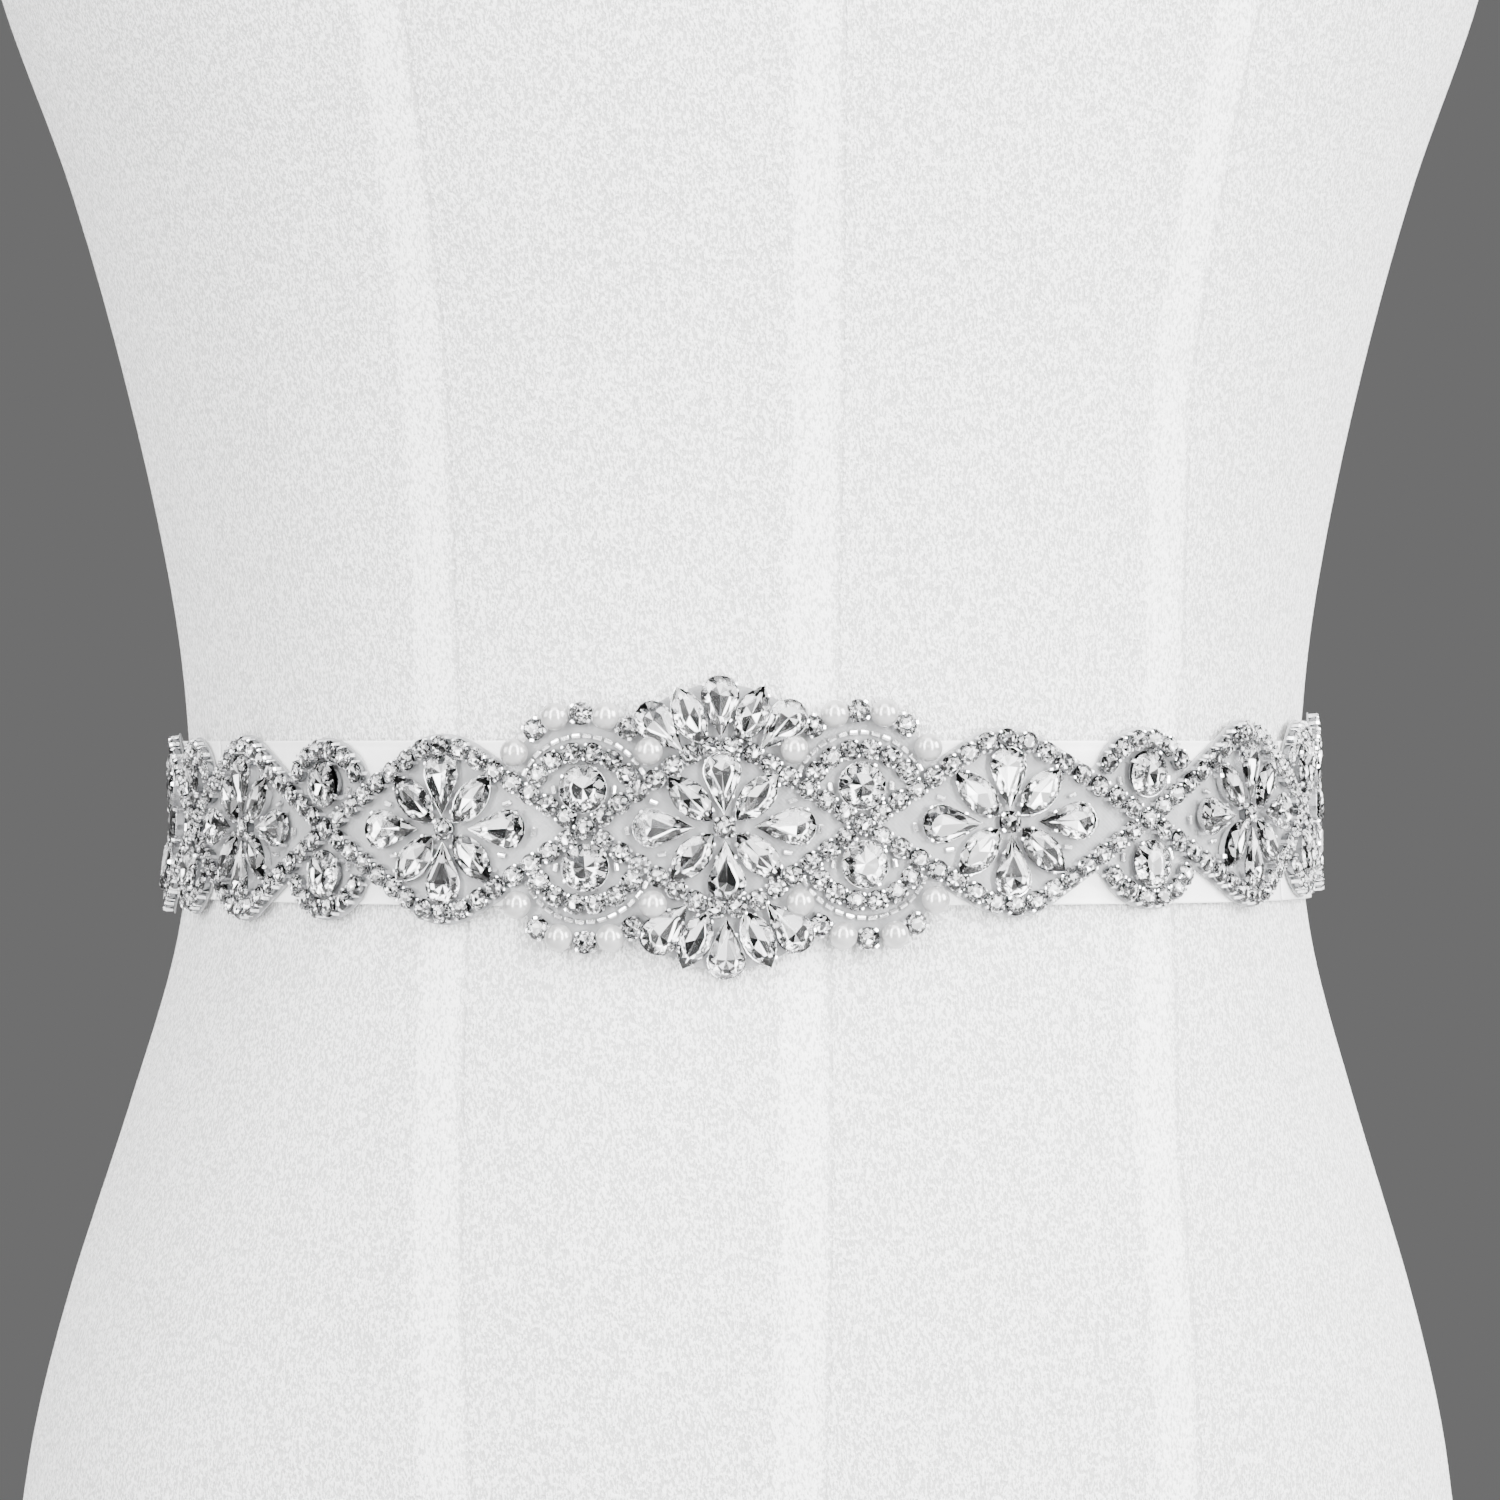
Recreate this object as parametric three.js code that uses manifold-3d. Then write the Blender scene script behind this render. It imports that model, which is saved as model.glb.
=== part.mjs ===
// A white satin ribbon sash with a crystal and pearl applique, tied round the waist of a
// limbless dress form.
// Millimetres, +Z up. The form stands on z = 0, and the applique's medallion faces -Y.

import * as THREE from "three";
import { mergeVertices } from "three/addons/utils/BufferGeometryUtils.js";
import Module from "manifold-3d";

const wasm = await Module();
wasm.setup();

// Driving sizes of the dress form
const FORM_TURN = 0.19; // radians from -Y to the form's centre front, seen from above
const FORM_COLUMNS = 44;
const BASE_THICKNESS = 12;
const BASE_INSET = 2;
const CAP_THICKNESS = 9;
const NECK_TOP = 725;
const PIECE_GAP = 0.3;

// The form's level sections: height, half the width, depth in front of and behind the widest
// line, how far back that line lies, and how square the section is (2 is an ellipse)
const FORM_SECTIONS = [
  { z: 0, half: 159, front: 126, back: 104, shift: 0, square: 2.4 },
  { z: 20, half: 162.5, front: 130, back: 110, shift: 0, square: 2.4 },
  { z: 60, half: 165.5, front: 134, back: 117, shift: 0, square: 2.4 },
  { z: 102, half: 161.5, front: 137, back: 112, shift: 0, square: 2.5 },
  { z: 137, half: 153.3, front: 137, back: 101, shift: 0, square: 2.6 },
  { z: 182, half: 138.9, front: 134, back: 85, shift: 0, square: 2.8 },
  { z: 216, half: 128.8, front: 131.3, back: 75.5, shift: 0, square: 3 },
  { z: 240, half: 125.6, front: 130, back: 72.3, shift: 0, square: 3 },
  { z: 264, half: 125.5, front: 130, back: 72, shift: 0, square: 3 },
  { z: 296, half: 129.2, front: 131.5, back: 74, shift: 0, square: 2.9 },
  { z: 342, half: 139.2, front: 136, back: 80, shift: 0, square: 2.7 },
  { z: 388, half: 152.2, front: 143, back: 87, shift: 0, square: 2.6 },
  { z: 433, half: 168.5, front: 149, back: 93, shift: 0, square: 2.5 },
  { z: 475, half: 178, front: 150, back: 98, shift: 0, square: 2.5 },
  { z: 525, half: 180, front: 138, back: 102, shift: 0, square: 2.5 },
  { z: 575, half: 177.5, front: 118, back: 101, shift: 0, square: 2.5 },
  { z: 612, half: 170, front: 98, back: 92, shift: 0, square: 2.4 },
  { z: 636, half: 150, front: 84, back: 82, shift: -2, square: 2.3 },
  { z: 654, half: 114, front: 72, back: 70, shift: -5, square: 2.2 },
  { z: 670, half: 78, front: 60, back: 60, shift: -10, square: 2 },
  { z: 692, half: 61, front: 55, back: 55, shift: -16, square: 2 },
  { z: NECK_TOP, half: 57, front: 53, back: 53, shift: -22, square: 2 },
];

// Driving sizes of the sash
const SASH_HEIGHT = 246.5; // the ribbon's centreline above the base
const RIBBON_WIDTH = 35;
const RIBBON_CLEARANCE = 0.4; // from the form
const RIBBON_WALL = 1;
const RIBBON_STEP = 9;
const FILM_WALL = 1; // the applique's backing
const FILM_STEP = 6;
const MEDALLION_OFFSET = -28.5; // along the waist, from the form's centre front to the medallion
const STONE_REACH = 5; // the stones' tops above the form, where the applique's lengths are measured
const APPLIQUE_DROP = 0.8; // below the ribbon's centreline
const APPLIQUE_SAG = { depth: 0.9, span: 130 }; // it hangs lower in the middle, by this much over this span
const APPLIQUE_RISE = 0.012; // it climbs to the right by this slope
const APPLIQUE_LEAN = 0.04; // its uprights lean by this slope, feet to the right

const FILM_UNDER = RIBBON_CLEARANCE + RIBBON_WALL + PIECE_GAP;
const FILM_TOP = FILM_UNDER + FILM_WALL;
const STONE_ROOT = 0.5; // how deep a stone sits in the backing

// The applique's motifs to the right of the medallion, by distance along the ribbon, and
// mirrored to the left
const MOTIFS = [
  { kind: "medallion", at: 0, apex: 17.2 },
  { kind: "pearl_link", at: 29.9 },
  { kind: "flower", at: 62.2, apex: 17.8 },
  { kind: "link", at: 96 },
  { kind: "flower", at: 129.8, apex: 17.8 },
  { kind: "link", at: 163.6 },
  { kind: "flower", at: 197.4, apex: 17.8 },
  { kind: "end", at: 227.4 },
];
const FLOWER_REACH = 20.2; // from a flower's centre to the seam beside its side petals
const PEARL_SEAM_STEP = 6.4; // how far the seam beside a pearl link steps out to pass the pearls

// Stones: length, width and height over the backing
const PETAL = { length: 13.2, width: 8, height: 3.4 };
const NAVETTE = { length: 13.3, width: 7, height: 3.2 };
const ROUND_STONE = { width: 10.2, height: 3.4 };
const CLAW_STONE = { width: 5.2, height: 3.2 };
const PEARL_DIAMETER = 6;
const CHAIN = { width: 4.6, height: 2.4, step: 9, apexRadius: 14 };

// Eight petals round a flower: distance of the near end from the centre, direction, and kind
const FLOWER_PETALS = [
  { near: [0, 2.8], degrees: 90, kind: "petal" },
  { near: [0, -2.8], degrees: -90, kind: "petal" },
  { near: [6.4, 0], degrees: 0, kind: "petal" },
  { near: [-6.4, 0], degrees: 180, kind: "petal" },
  { near: [2.5, 1.4], degrees: 45.5, kind: "navette" },
  { near: [-2.5, 1.4], degrees: 134.5, kind: "navette" },
  { near: [2.5, -1.4], degrees: -45.5, kind: "navette" },
  { near: [-2.5, -1.4], degrees: -134.5, kind: "navette" },
];
// Five stones fanned over the medallion, and mirrored below it
const CROWN_STONES = [
  { near: [0, 19.7], degrees: 90, kind: "petal" },
  { near: [3.9, 18.5], degrees: 65, kind: "navette" },
  { near: [-3.9, 18.5], degrees: 115, kind: "navette" },
  { near: [8.1, 16.9], degrees: 46, kind: "petal" },
  { near: [-8.1, 16.9], degrees: 134, kind: "petal" },
];
const CROWN_ARC = { centre: 5.6, radius: 27.2, reach: 19.5 };

// A link: two round stones one above the other, each under a chain arc, with an arc of pearls outside it
const LINK_SIZES = {
  pearl_link: { stone: 8.35, centre: 4, radius: 12.2 },
  link: { stone: 9.7, centre: 4.9, radius: 12.2 },
};
const PEARL_ARC = { centre: 6.9, radius: 17.2, pearls: [33, 71.5, 108.5, 147], claws: [54, 90, 126] };
const FILM_MARGIN = 1.2;
const ORNAMENT_REACH = 36; // no stone or chain reaches farther from its motif's middle
const APPLIQUE_REACH = 44; // nor above or below the centreline
const PANEL_DEPTH = 16;
const SEAM_STEP_ROWS = [8, 11]; // above and below the centreline, where a stepped seam crosses over

// The knot at the back and its two tails
const KNOT = { halfWidth: 12, halfHeight: 13.5, depth: 12 };
const GATHER = { length: 34, narrow: 0.62, fold: 1.5 };
const TAIL = { length: 188, slant: 12, clearance: 0.9 };
const TAIL_TOP = { middle: 8, half: 7.2, fold: 2 }; // under the knot, where it is gathered
const TAIL_OPEN = { middle: 19.5, half: 16.3, fold: 0.9, by: 50 }; // its soft folds take up the rest
const TAIL_SPLAY = 26; // how far its end swings out
const TAIL_FOLDS = 2.5;
const TAIL_STEPS = 15;

const radians = (degrees) => (degrees * Math.PI) / 180;
const smooth = (x, low, high) => THREE.MathUtils.smoothstep(x, low, high);
const range = (count) => [...Array(count).keys()];

// The section at a height, by a smooth curve through the rows above
function sectionAt(z) {
  const rows = FORM_SECTIONS;
  const last = rows.length - 1;
  let i = 0;
  while (i < last - 1 && z > rows[i + 1].z) i += 1;
  const [before, low] = [rows[Math.max(i - 1, 0)], rows[i]];
  const [high, after] = [rows[i + 1], rows[Math.min(i + 2, last)]];
  const span = high.z - low.z;
  const t = THREE.MathUtils.clamp((z - low.z) / span, 0, 1);
  const blend = (name) => {
    const slopeLow = ((high[name] - before[name]) / (high.z - before.z)) * span;
    const slopeHigh = ((after[name] - low[name]) / (after.z - low.z)) * span;
    return (
      low[name] * (1 + 2 * t) * (1 - t) ** 2 +
      slopeLow * t * (1 - t) ** 2 +
      high[name] * t * t * (3 - 2 * t) +
      slopeHigh * t * t * (t - 1)
    );
  };
  const names = ["half", "front", "back", "shift", "square"];
  return Object.fromEntries(names.map((name) => [name, blend(name)]));
}

// A point over the form: turn from its centre front, height, and distance out from its surface
function overForm(turn, z, out) {
  const section = sectionAt(z);
  const depth = Math.cos(turn) >= 0 ? section.front : section.back;
  const side = Math.sign(Math.sin(turn)) * Math.abs(Math.sin(turn)) ** (2 / section.square);
  const x = section.half * side;
  const y = -depth * Math.cos(turn);
  const normal = new THREE.Vector2(
    (section.square * Math.sign(side) * Math.abs(side) ** (section.square - 1)) / section.half,
    (2 * y) / depth ** 2,
  ).normalize();
  const point = new THREE.Vector3(x + normal.x * out, y + normal.y * out + section.shift, z);
  return point.applyAxisAngle(new THREE.Vector3(0, 0, 1), FORM_TURN);
}

// Lengths along the waist, over the stones, for evenly spaced turns from the centre back round to it again
const TURN_SAMPLES = 14400;
const waistTurns = range(TURN_SAMPLES + 1).map((i) => -Math.PI + (2 * Math.PI * i) / TURN_SAMPLES);
const waistLengths = [0];
waistTurns.slice(1).forEach((turn, i) => {
  const [before, after] = [waistTurns[i], turn].map((t) => overForm(t, SASH_HEIGHT, STONE_REACH));
  waistLengths.push(waistLengths[i] + before.distanceTo(after));
});
const WAIST = waistLengths[TURN_SAMPLES];
const MEDALLION_LENGTH = waistLengths[TURN_SAMPLES / 2] + MEDALLION_OFFSET;

// The turn at a distance along the ribbon from the medallion
function turnAt(along) {
  const length = THREE.MathUtils.euclideanModulo(MEDALLION_LENGTH + along, WAIST);
  let [low, high] = [0, TURN_SAMPLES];
  while (high - low > 1) {
    const middle = (low + high) >> 1;
    if (waistLengths[middle] <= length) low = middle;
    else high = middle;
  }
  const share = (length - waistLengths[low]) / (waistLengths[high] - waistLengths[low]);
  return THREE.MathUtils.lerp(waistTurns[low], waistTurns[high], share);
}

const onSash = (u, v, w) => overForm(turnAt(u), SASH_HEIGHT + v, w);

function onApplique(u, v, w) {
  const rise = u * APPLIQUE_RISE + APPLIQUE_SAG.depth * (u / APPLIQUE_SAG.span) ** 2;
  return onSash(u - v * APPLIQUE_LEAN, v - APPLIQUE_DROP + rise, w);
}

// A closed solid through rings of the same number of points, with its ends zipped shut from side to side
function loft(rings) {
  const count = rings[0].length;
  const positions = rings.flat().flatMap((p) => [p.x, p.y, p.z]);
  const index = [];
  rings.slice(1).forEach((_, r) =>
    range(count).forEach((i) => {
      const [a, b] = [r * count + i, r * count + ((i + 1) % count)];
      index.push(a, b, b + count, a, b + count, a + count);
    }),
  );
  const cap = (offset, flip) => {
    let [low, high] = [0, count - 1];
    while (high - low > 1) {
      const zip = [[low, high, low + 1]];
      if (high - low > 2) zip.push([low + 1, high, high - 1]);
      for (const triangle of flip ? zip.map(([a, b, c]) => [a, c, b]) : zip)
        index.push(...triangle.map((i) => offset + i));
      [low, high] = [low + 1, high - 1];
    }
  };
  cap(0, false);
  cap((rings.length - 1) * count, true);
  const corners = index.map((i) => new THREE.Vector3().fromArray(positions, i * 3));
  let volume = 0;
  for (let i = 0; i < corners.length; i += 3)
    volume += corners[i].dot(corners[i + 1].clone().cross(corners[i + 2]));
  if (volume < 0) index.reverse();
  const geometry = new THREE.BufferGeometry();
  geometry.setAttribute("position", new THREE.BufferAttribute(new Float32Array(positions), 3));
  geometry.setIndex(index);
  return geometry;
}

function solidOf(geometry) {
  const vertProperties = geometry.attributes.position.array;
  const triVerts = new Uint32Array(geometry.index.array);
  return new wasm.Manifold(new wasm.Mesh({ numProp: 3, vertProperties, triVerts }));
}

const MERGE_DISTANCE = 1e-3;

// The solid's outer shell alone, so that a pocket closed in between neighbouring stones is filled
function outerShell(solid) {
  const meshed = solid.getMesh();
  const whole = new THREE.BufferGeometry();
  whole.setAttribute("position", new THREE.BufferAttribute(meshed.vertProperties, 3));
  whole.setIndex(new THREE.BufferAttribute(meshed.triVerts, 1));
  const { vertProperties, triVerts } = solidOf(mergeVertices(whole, MERGE_DISTANCE)).getMesh();
  const parent = range(vertProperties.length / 3);
  const root = (i) => {
    while (parent[i] !== i) i = parent[i] = parent[parent[i]];
    return i;
  };
  const corner = (i) => new THREE.Vector3().fromArray(vertProperties, triVerts[i] * 3);
  triVerts.forEach((v, i) => (parent[root(v)] = root(triVerts[i - (i % 3)])));
  const volumes = new Map();
  for (let i = 0; i < triVerts.length; i += 3) {
    const key = root(triVerts[i]);
    volumes.set(key, (volumes.get(key) ?? 0) + corner(i).dot(corner(i + 1).cross(corner(i + 2))));
  }
  const geometry = new THREE.BufferGeometry();
  geometry.setAttribute("position", new THREE.BufferAttribute(vertProperties, 3));
  geometry.setIndex([...triVerts].filter((v) => volumes.get(root(v)) > 0));
  return geometry;
}

// A wall of cloth: at each column, points along its inner side and back along its outer side
function wall(columns, rows, point, thickness) {
  return loft(
    columns.map((column) => [
      ...rows.map((row) => point(column, row, 0)),
      ...rows.toReversed().map((row) => point(column, row, thickness)),
    ]),
  );
}

const evenly = (from, to, step) => {
  const count = Math.max(1, Math.round(Math.abs(to - from) / step));
  return range(count + 1).map((i) => THREE.MathUtils.lerp(from, to, i / count));
};

// The dress form: a smooth torso between a base board and a neck cap
function formRing(z, inset = 0) {
  return range(FORM_COLUMNS).map((i) => overForm(turnAt((i * WAIST) / FORM_COLUMNS), z, -inset));
}

function torso() {
  const bottom = BASE_THICKNESS + PIECE_GAP;
  const [low, high] = [-1, 1].map((side) => SASH_HEIGHT + (side * RIBBON_WIDTH) / 2);
  const clear = (z) => z > bottom + 5 && (z < low - 5 || z > high + 5);
  const rows = FORM_SECTIONS.map((row) => row.z).filter(clear);
  const heights = [bottom, low, SASH_HEIGHT, high, ...rows].sort((a, b) => a - b);
  return loft(heights.map((z) => formRing(z)));
}

const baseBoard = () => loft([0, BASE_THICKNESS].map((z) => formRing(z, BASE_INSET)));

function neckCap() {
  const rings = [[0, 0], [CAP_THICKNESS / 2, 0], [CAP_THICKNESS, 3]];
  return loft(
    rings.map(([up, inset]) =>
      formRing(NECK_TOP, inset).map((p) => p.setZ(NECK_TOP + PIECE_GAP + up)),
    ),
  );
}

// The ribbon, which narrows into gathers as it nears the knot
const KNOT_AT = WAIST / 2;

function ribbonPoint(u, row, out) {
  const near = 1 - smooth(KNOT_AT - KNOT.halfWidth - Math.abs(u), 0, GATHER.length);
  const v = (row * RIBBON_WIDTH * (1 - near * (1 - GATHER.narrow))) / 2;
  const fold = GATHER.fold * near * (1 + Math.cos(row * Math.PI * 2)) / 2;
  return onSash(u, v, RIBBON_CLEARANCE + fold + out);
}

function ribbon(from, to) {
  const rows = Math.max(Math.abs(from), Math.abs(to)) > KNOT_AT / 2 ? [-1, -0.5, 0, 0.5, 1] : [-1, 0, 1];
  return wall(evenly(from, to, RIBBON_STEP), rows, ribbonPoint, RIBBON_WALL);
}

// The knot: a rounded band wrapped round the gathered ribbon
function knot() {
  const sides = 12;
  return loft(
    evenly(-1, 1, 0.25).map((x) => {
      const full = Math.sqrt(1 - 0.55 * x * x);
      return range(sides).map((i) => {
        const angle = (2 * Math.PI * i) / sides;
        const v = KNOT.halfHeight * full * Math.cos(angle);
        const w = RIBBON_CLEARANCE + (KNOT.depth / 2) * (1 + full * Math.sin(angle));
        return onSash(KNOT_AT + x * KNOT.halfWidth, v, w);
      });
    }),
  );
}

// How far the knot's middle lies to the side of the form's own centre back
const KNOT_ACROSS = overForm(turnAt(KNOT_AT), SASH_HEIGHT, 0).applyAxisAngle(
  new THREE.Vector3(0, 0, 1),
  -FORM_TURN,
).x;

// A point over the form's back by its distance across, which keeps a hanging ribbon's width
// where the form widens below the waist
function overBack(across, z, out) {
  const { half, square } = sectionAt(z);
  const side = Math.sign(across) * (Math.abs(across) / half) ** (square / 2);
  return overForm(Math.PI - Math.asin(side), z, out);
}

// A tail hangs from under the knot, opens from its gathers to the ribbon's full width and
// ends in a slanting cut
function tail(side) {
  const point = (share, row, out) => {
    const drop = share * (TAIL.length + side * row * TAIL.slant);
    const open = smooth(drop, 0, TAIL_OPEN.by);
    const opened = (name) => THREE.MathUtils.lerp(TAIL_TOP[name], TAIL_OPEN[name], open);
    const wave = (1 + Math.cos(row * Math.PI * TAIL_FOLDS + share * 2)) / 2;
    const u = opened("middle") + TAIL_SPLAY * (drop / TAIL.length) ** 1.6 + row * opened("half");
    const z = SASH_HEIGHT - KNOT.halfHeight - PIECE_GAP - drop;
    return overBack(KNOT_ACROSS - side * u, z, TAIL.clearance + opened("fold") * wave + out);
  };
  return wall(evenly(0, 1, 1 / TAIL_STEPS), evenly(-1, 1, 1 / 3), point, RIBBON_WALL);
}

// Outlines of the cut stones, along +x from the near end, or round the middle
function petalOutline({ length, width }) {
  const radius = width / 2;
  const tangent = Math.PI - Math.acos(radius / (length - radius));
  const head = evenly(-tangent, tangent, (2 * tangent) / 4);
  return [[0, 0], ...head.map((a) => [length - radius + radius * Math.cos(a), radius * Math.sin(a)])];
}

function navetteOutline({ length, width }) {
  const half = (x) => (width / 2) * (1 - (2 * x - 1) ** 2);
  const stations = [0.3, 0.7];
  return [
    [0, 0],
    ...stations.map((x) => [x * length, -half(x)]),
    [length, 0],
    ...stations.toReversed().map((x) => [x * length, half(x)]),
  ];
}

function roundOutline(width, sides) {
  return range(sides).map((i) => {
    const angle = (2 * Math.PI * (i + 0.5)) / sides;
    return [(width / 2) * Math.cos(angle), (width / 2) * Math.sin(angle)];
  });
}

// A solid that stands on the backing: its outline drawn at each level, scaled about its middle
function standing([u, v], degrees, outline, levels) {
  const [cos, sin] = [Math.cos(radians(degrees)), Math.sin(radians(degrees))];
  const middle = outline.reduce((sum, [x]) => sum + x, 0) / outline.length;
  return loft(
    levels.map(([height, scale]) =>
      outline.map(([x, y]) => {
        const [along, across] = [middle + (x - middle) * scale, y * scale];
        const [du, dv] = [along * cos - across * sin, along * sin + across * cos];
        return onApplique(u + du, v + dv, FILM_TOP + height);
      }),
    ),
  );
}

const cutStone = (at, degrees, outline, height) =>
  standing(at, degrees, outline, [[-STONE_ROOT, 1], [height, 0.55]]);

const OUTLINES = {
  petal: [petalOutline(PETAL), PETAL.height],
  navette: [navetteOutline(NAVETTE), NAVETTE.height],
  round: [roundOutline(ROUND_STONE.width, 7), ROUND_STONE.height],
  claw: [roundOutline(CLAW_STONE.width, 5), CLAW_STONE.height],
};

const stone = (kind, at, degrees = 0) => cutStone(at, degrees, ...OUTLINES[kind]);

function pearl(at) {
  const radius = PEARL_DIAMETER / 2;
  const dome = [0, 52].map((a) => [radius * (1 + Math.sin(radians(a))) - STONE_ROOT, Math.cos(radians(a))]);
  return standing(at, 0, roundOutline(PEARL_DIAMETER, 6), [[-STONE_ROOT, 0.6], ...dome]);
}

// A row of chain stones along a path, as one ridge
function chain(path) {
  const curve = new THREE.CurvePath();
  path.slice(1).forEach((end, i) => {
    curve.add(new THREE.LineCurve(new THREE.Vector2(...path[i]), new THREE.Vector2(...end)));
  });
  const profile = [[-0.5, -STONE_ROOT], [0, CHAIN.height], [0.5, -STONE_ROOT]];
  const rings = evenly(0, 1, CHAIN.step / curve.getLength()).map((share) => {
    const at = curve.getPointAt(share);
    const near = (step) => curve.getPointAt(Math.min(Math.max(share + step, 0), 1));
    const [behind, ahead] = [near(-0.02), near(0.02)];
    const normal = new THREE.Vector2(behind.y - ahead.y, ahead.x - behind.x).normalize();
    return profile.map(([across, height]) => {
      const reach = across * CHAIN.width;
      return onApplique(at.x + normal.x * reach, at.y + normal.y * reach, FILM_TOP + height);
    });
  });
  return loft(rings);
}

// Half a lozenge of chain: a round top of the given height that runs tangent into a straight
// line to the crossing
function halfLozenge(apex, reach) {
  const { apexRadius } = CHAIN;
  const centre = apex - apexRadius;
  const slope = Math.atan2(centre, reach) + Math.asin(apexRadius / Math.hypot(reach, centre));
  const onArc = (a) => [apexRadius * Math.sin(a), centre + apexRadius * Math.cos(a)];
  return [...evenly(0, slope, slope / 4).map(onArc), [reach, 0]];
}

const arcPath = (at, { centre, radius }, from, to) =>
  evenly(radians(from), radians(to), radians(14)).map((a) => [
    at + radius * Math.cos(a),
    centre + radius * Math.sin(a),
  ]);

const flipped = (path, side) => path.map(([u, v]) => [u, v * side]);
const EYE_START = 14; // degrees at which a link's chain arc leaves the crossing chains

// Every stone and chain of the applique, with its place along the ribbon
function ornaments() {
  const made = [];
  const put = (at, geometry) => made.push({ at, geometry });
  const petals = (u, stones, up = 1) => {
    for (const { near, degrees, kind } of stones)
      put(u, stone(kind, [u + near[0], near[1] * up], degrees * up));
  };
  const motifs = MOTIFS.flatMap((m) => (m.at ? [m, { ...m, at: -m.at }] : [m]));
  for (const { kind, at: u, apex } of motifs) {
    if (apex) {
      put(u, stone("claw", [u, 0]));
      petals(u, FLOWER_PETALS);
    }
    for (const up of [1, -1]) {
      if (kind === "medallion") petals(u, CROWN_STONES, up);
      if (kind in LINK_SIZES) {
        put(u, stone("round", [u, LINK_SIZES[kind].stone * up]));
        put(u, chain(flipped(arcPath(u, LINK_SIZES[kind], EYE_START, 180 - EYE_START), up)));
      }
      if (kind === "pearl_link") {
        const onArc = (angle) => flipped(arcPath(u, PEARL_ARC, angle, angle), up)[0];
        PEARL_ARC.pearls.forEach((angle) => put(u, pearl(onArc(angle))));
        PEARL_ARC.claws.forEach((angle) => put(u, stone("claw", onArc(angle))));
      }
    }
  }
  MOTIFS.forEach(({ at, apex }, i) => {
    const crossings = apex ? [MOTIFS[i - 1], MOTIFS[i + 1]].filter(Boolean).map((m) => m.at - at) : [];
    for (const reach of crossings)
      for (const side of [1, -1])
        for (const up of [1, -1]) {
          const path = halfLozenge(apex, Math.abs(reach));
          put(side * at, chain(path.map(([x, v]) => [side * (at + Math.sign(reach) * x), v * up])));
        }
  });
  return made;
}

// Half the backing's height: it follows the outermost stones with a small margin
function filmHalf(along) {
  const u = Math.abs(along);
  const chainEdge = CHAIN.width / 2 + FILM_MARGIN;
  const heights = [chainEdge];
  MOTIFS.forEach((m, i) => {
    const off = u - m.at;
    const arc = (centre, radius) => centre + Math.sqrt(Math.max(radius ** 2 - off ** 2, 0));
    if (m.kind === "link" && Math.abs(off) < LINK_SIZES.link.radius)
      heights.push(arc(LINK_SIZES.link.centre, LINK_SIZES.link.radius + chainEdge));
    if (m.kind === "pearl_link" && Math.abs(off) < PEARL_ARC.radius)
      heights.push(arc(PEARL_ARC.centre, PEARL_ARC.radius + PEARL_DIAMETER / 2 + FILM_MARGIN));
    if (m.kind === "medallion" && Math.abs(off) < CROWN_ARC.reach)
      heights.push(arc(CROWN_ARC.centre, CROWN_ARC.radius + FILM_MARGIN));
    if (m.apex) {
      const next = MOTIFS[off < 0 ? i - 1 : i + 1];
      const path = halfLozenge(m.apex, Math.abs(next.at - m.at));
      const k = path.findIndex(([x]) => x > Math.abs(off));
      if (k > 0) {
        const share = (Math.abs(off) - path[k - 1][0]) / (path[k][0] - path[k - 1][0]);
        heights.push(THREE.MathUtils.lerp(path[k - 1][1], path[k][1], share) + chainEdge * 1.15);
      }
    }
  });
  return Math.max(...heights);
}

function film(from, to) {
  const point = (u, row, out) => onApplique(u, row * filmHalf(u), FILM_UNDER + out);
  return wall(evenly(from, to, FILM_STEP), [-1, 0, 1], point, FILM_WALL);
}

// The space that a panel may fill between its two seams, each a distance and a step out past the pearls
function panelSpace([from, fromStep], [to, toStep]) {
  const seam = (at, step, v) => at + step * smooth(Math.abs(v), SEAM_STEP_ROWS[0], SEAM_STEP_ROWS[1]);
  const point = (share, v, out) => {
    const u = THREE.MathUtils.lerp(seam(from, fromStep, v), seam(to, toStep, v), share);
    return onApplique(u, v, FILM_UNDER - FILM_WALL + out);
  };
  const rows = [...SEAM_STEP_ROWS, APPLIQUE_REACH];
  return wall(evenly(0, 1, 0.1), [...rows.toReversed().map((v) => -v), ...rows], point, PANEL_DEPTH);
}

// Fuses the backing and every stone between two seams, cut clear at the seams
function panel(pieces, from, to) {
  const end = MOTIFS.at(-1).at + CHAIN.width / 2;
  const reach = [from[0] - PEARL_SEAM_STEP, to[0] + PEARL_SEAM_STEP];
  let body = solidOf(film(Math.max(reach[0], -end), Math.min(reach[1], end)));
  for (const { at, geometry } of pieces)
    if (at > from[0] - ORNAMENT_REACH && at < to[0] + ORNAMENT_REACH) body = body.add(solidOf(geometry));
  return outerShell(body.intersect(solidOf(panelSpace(from, to))));
}

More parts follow.
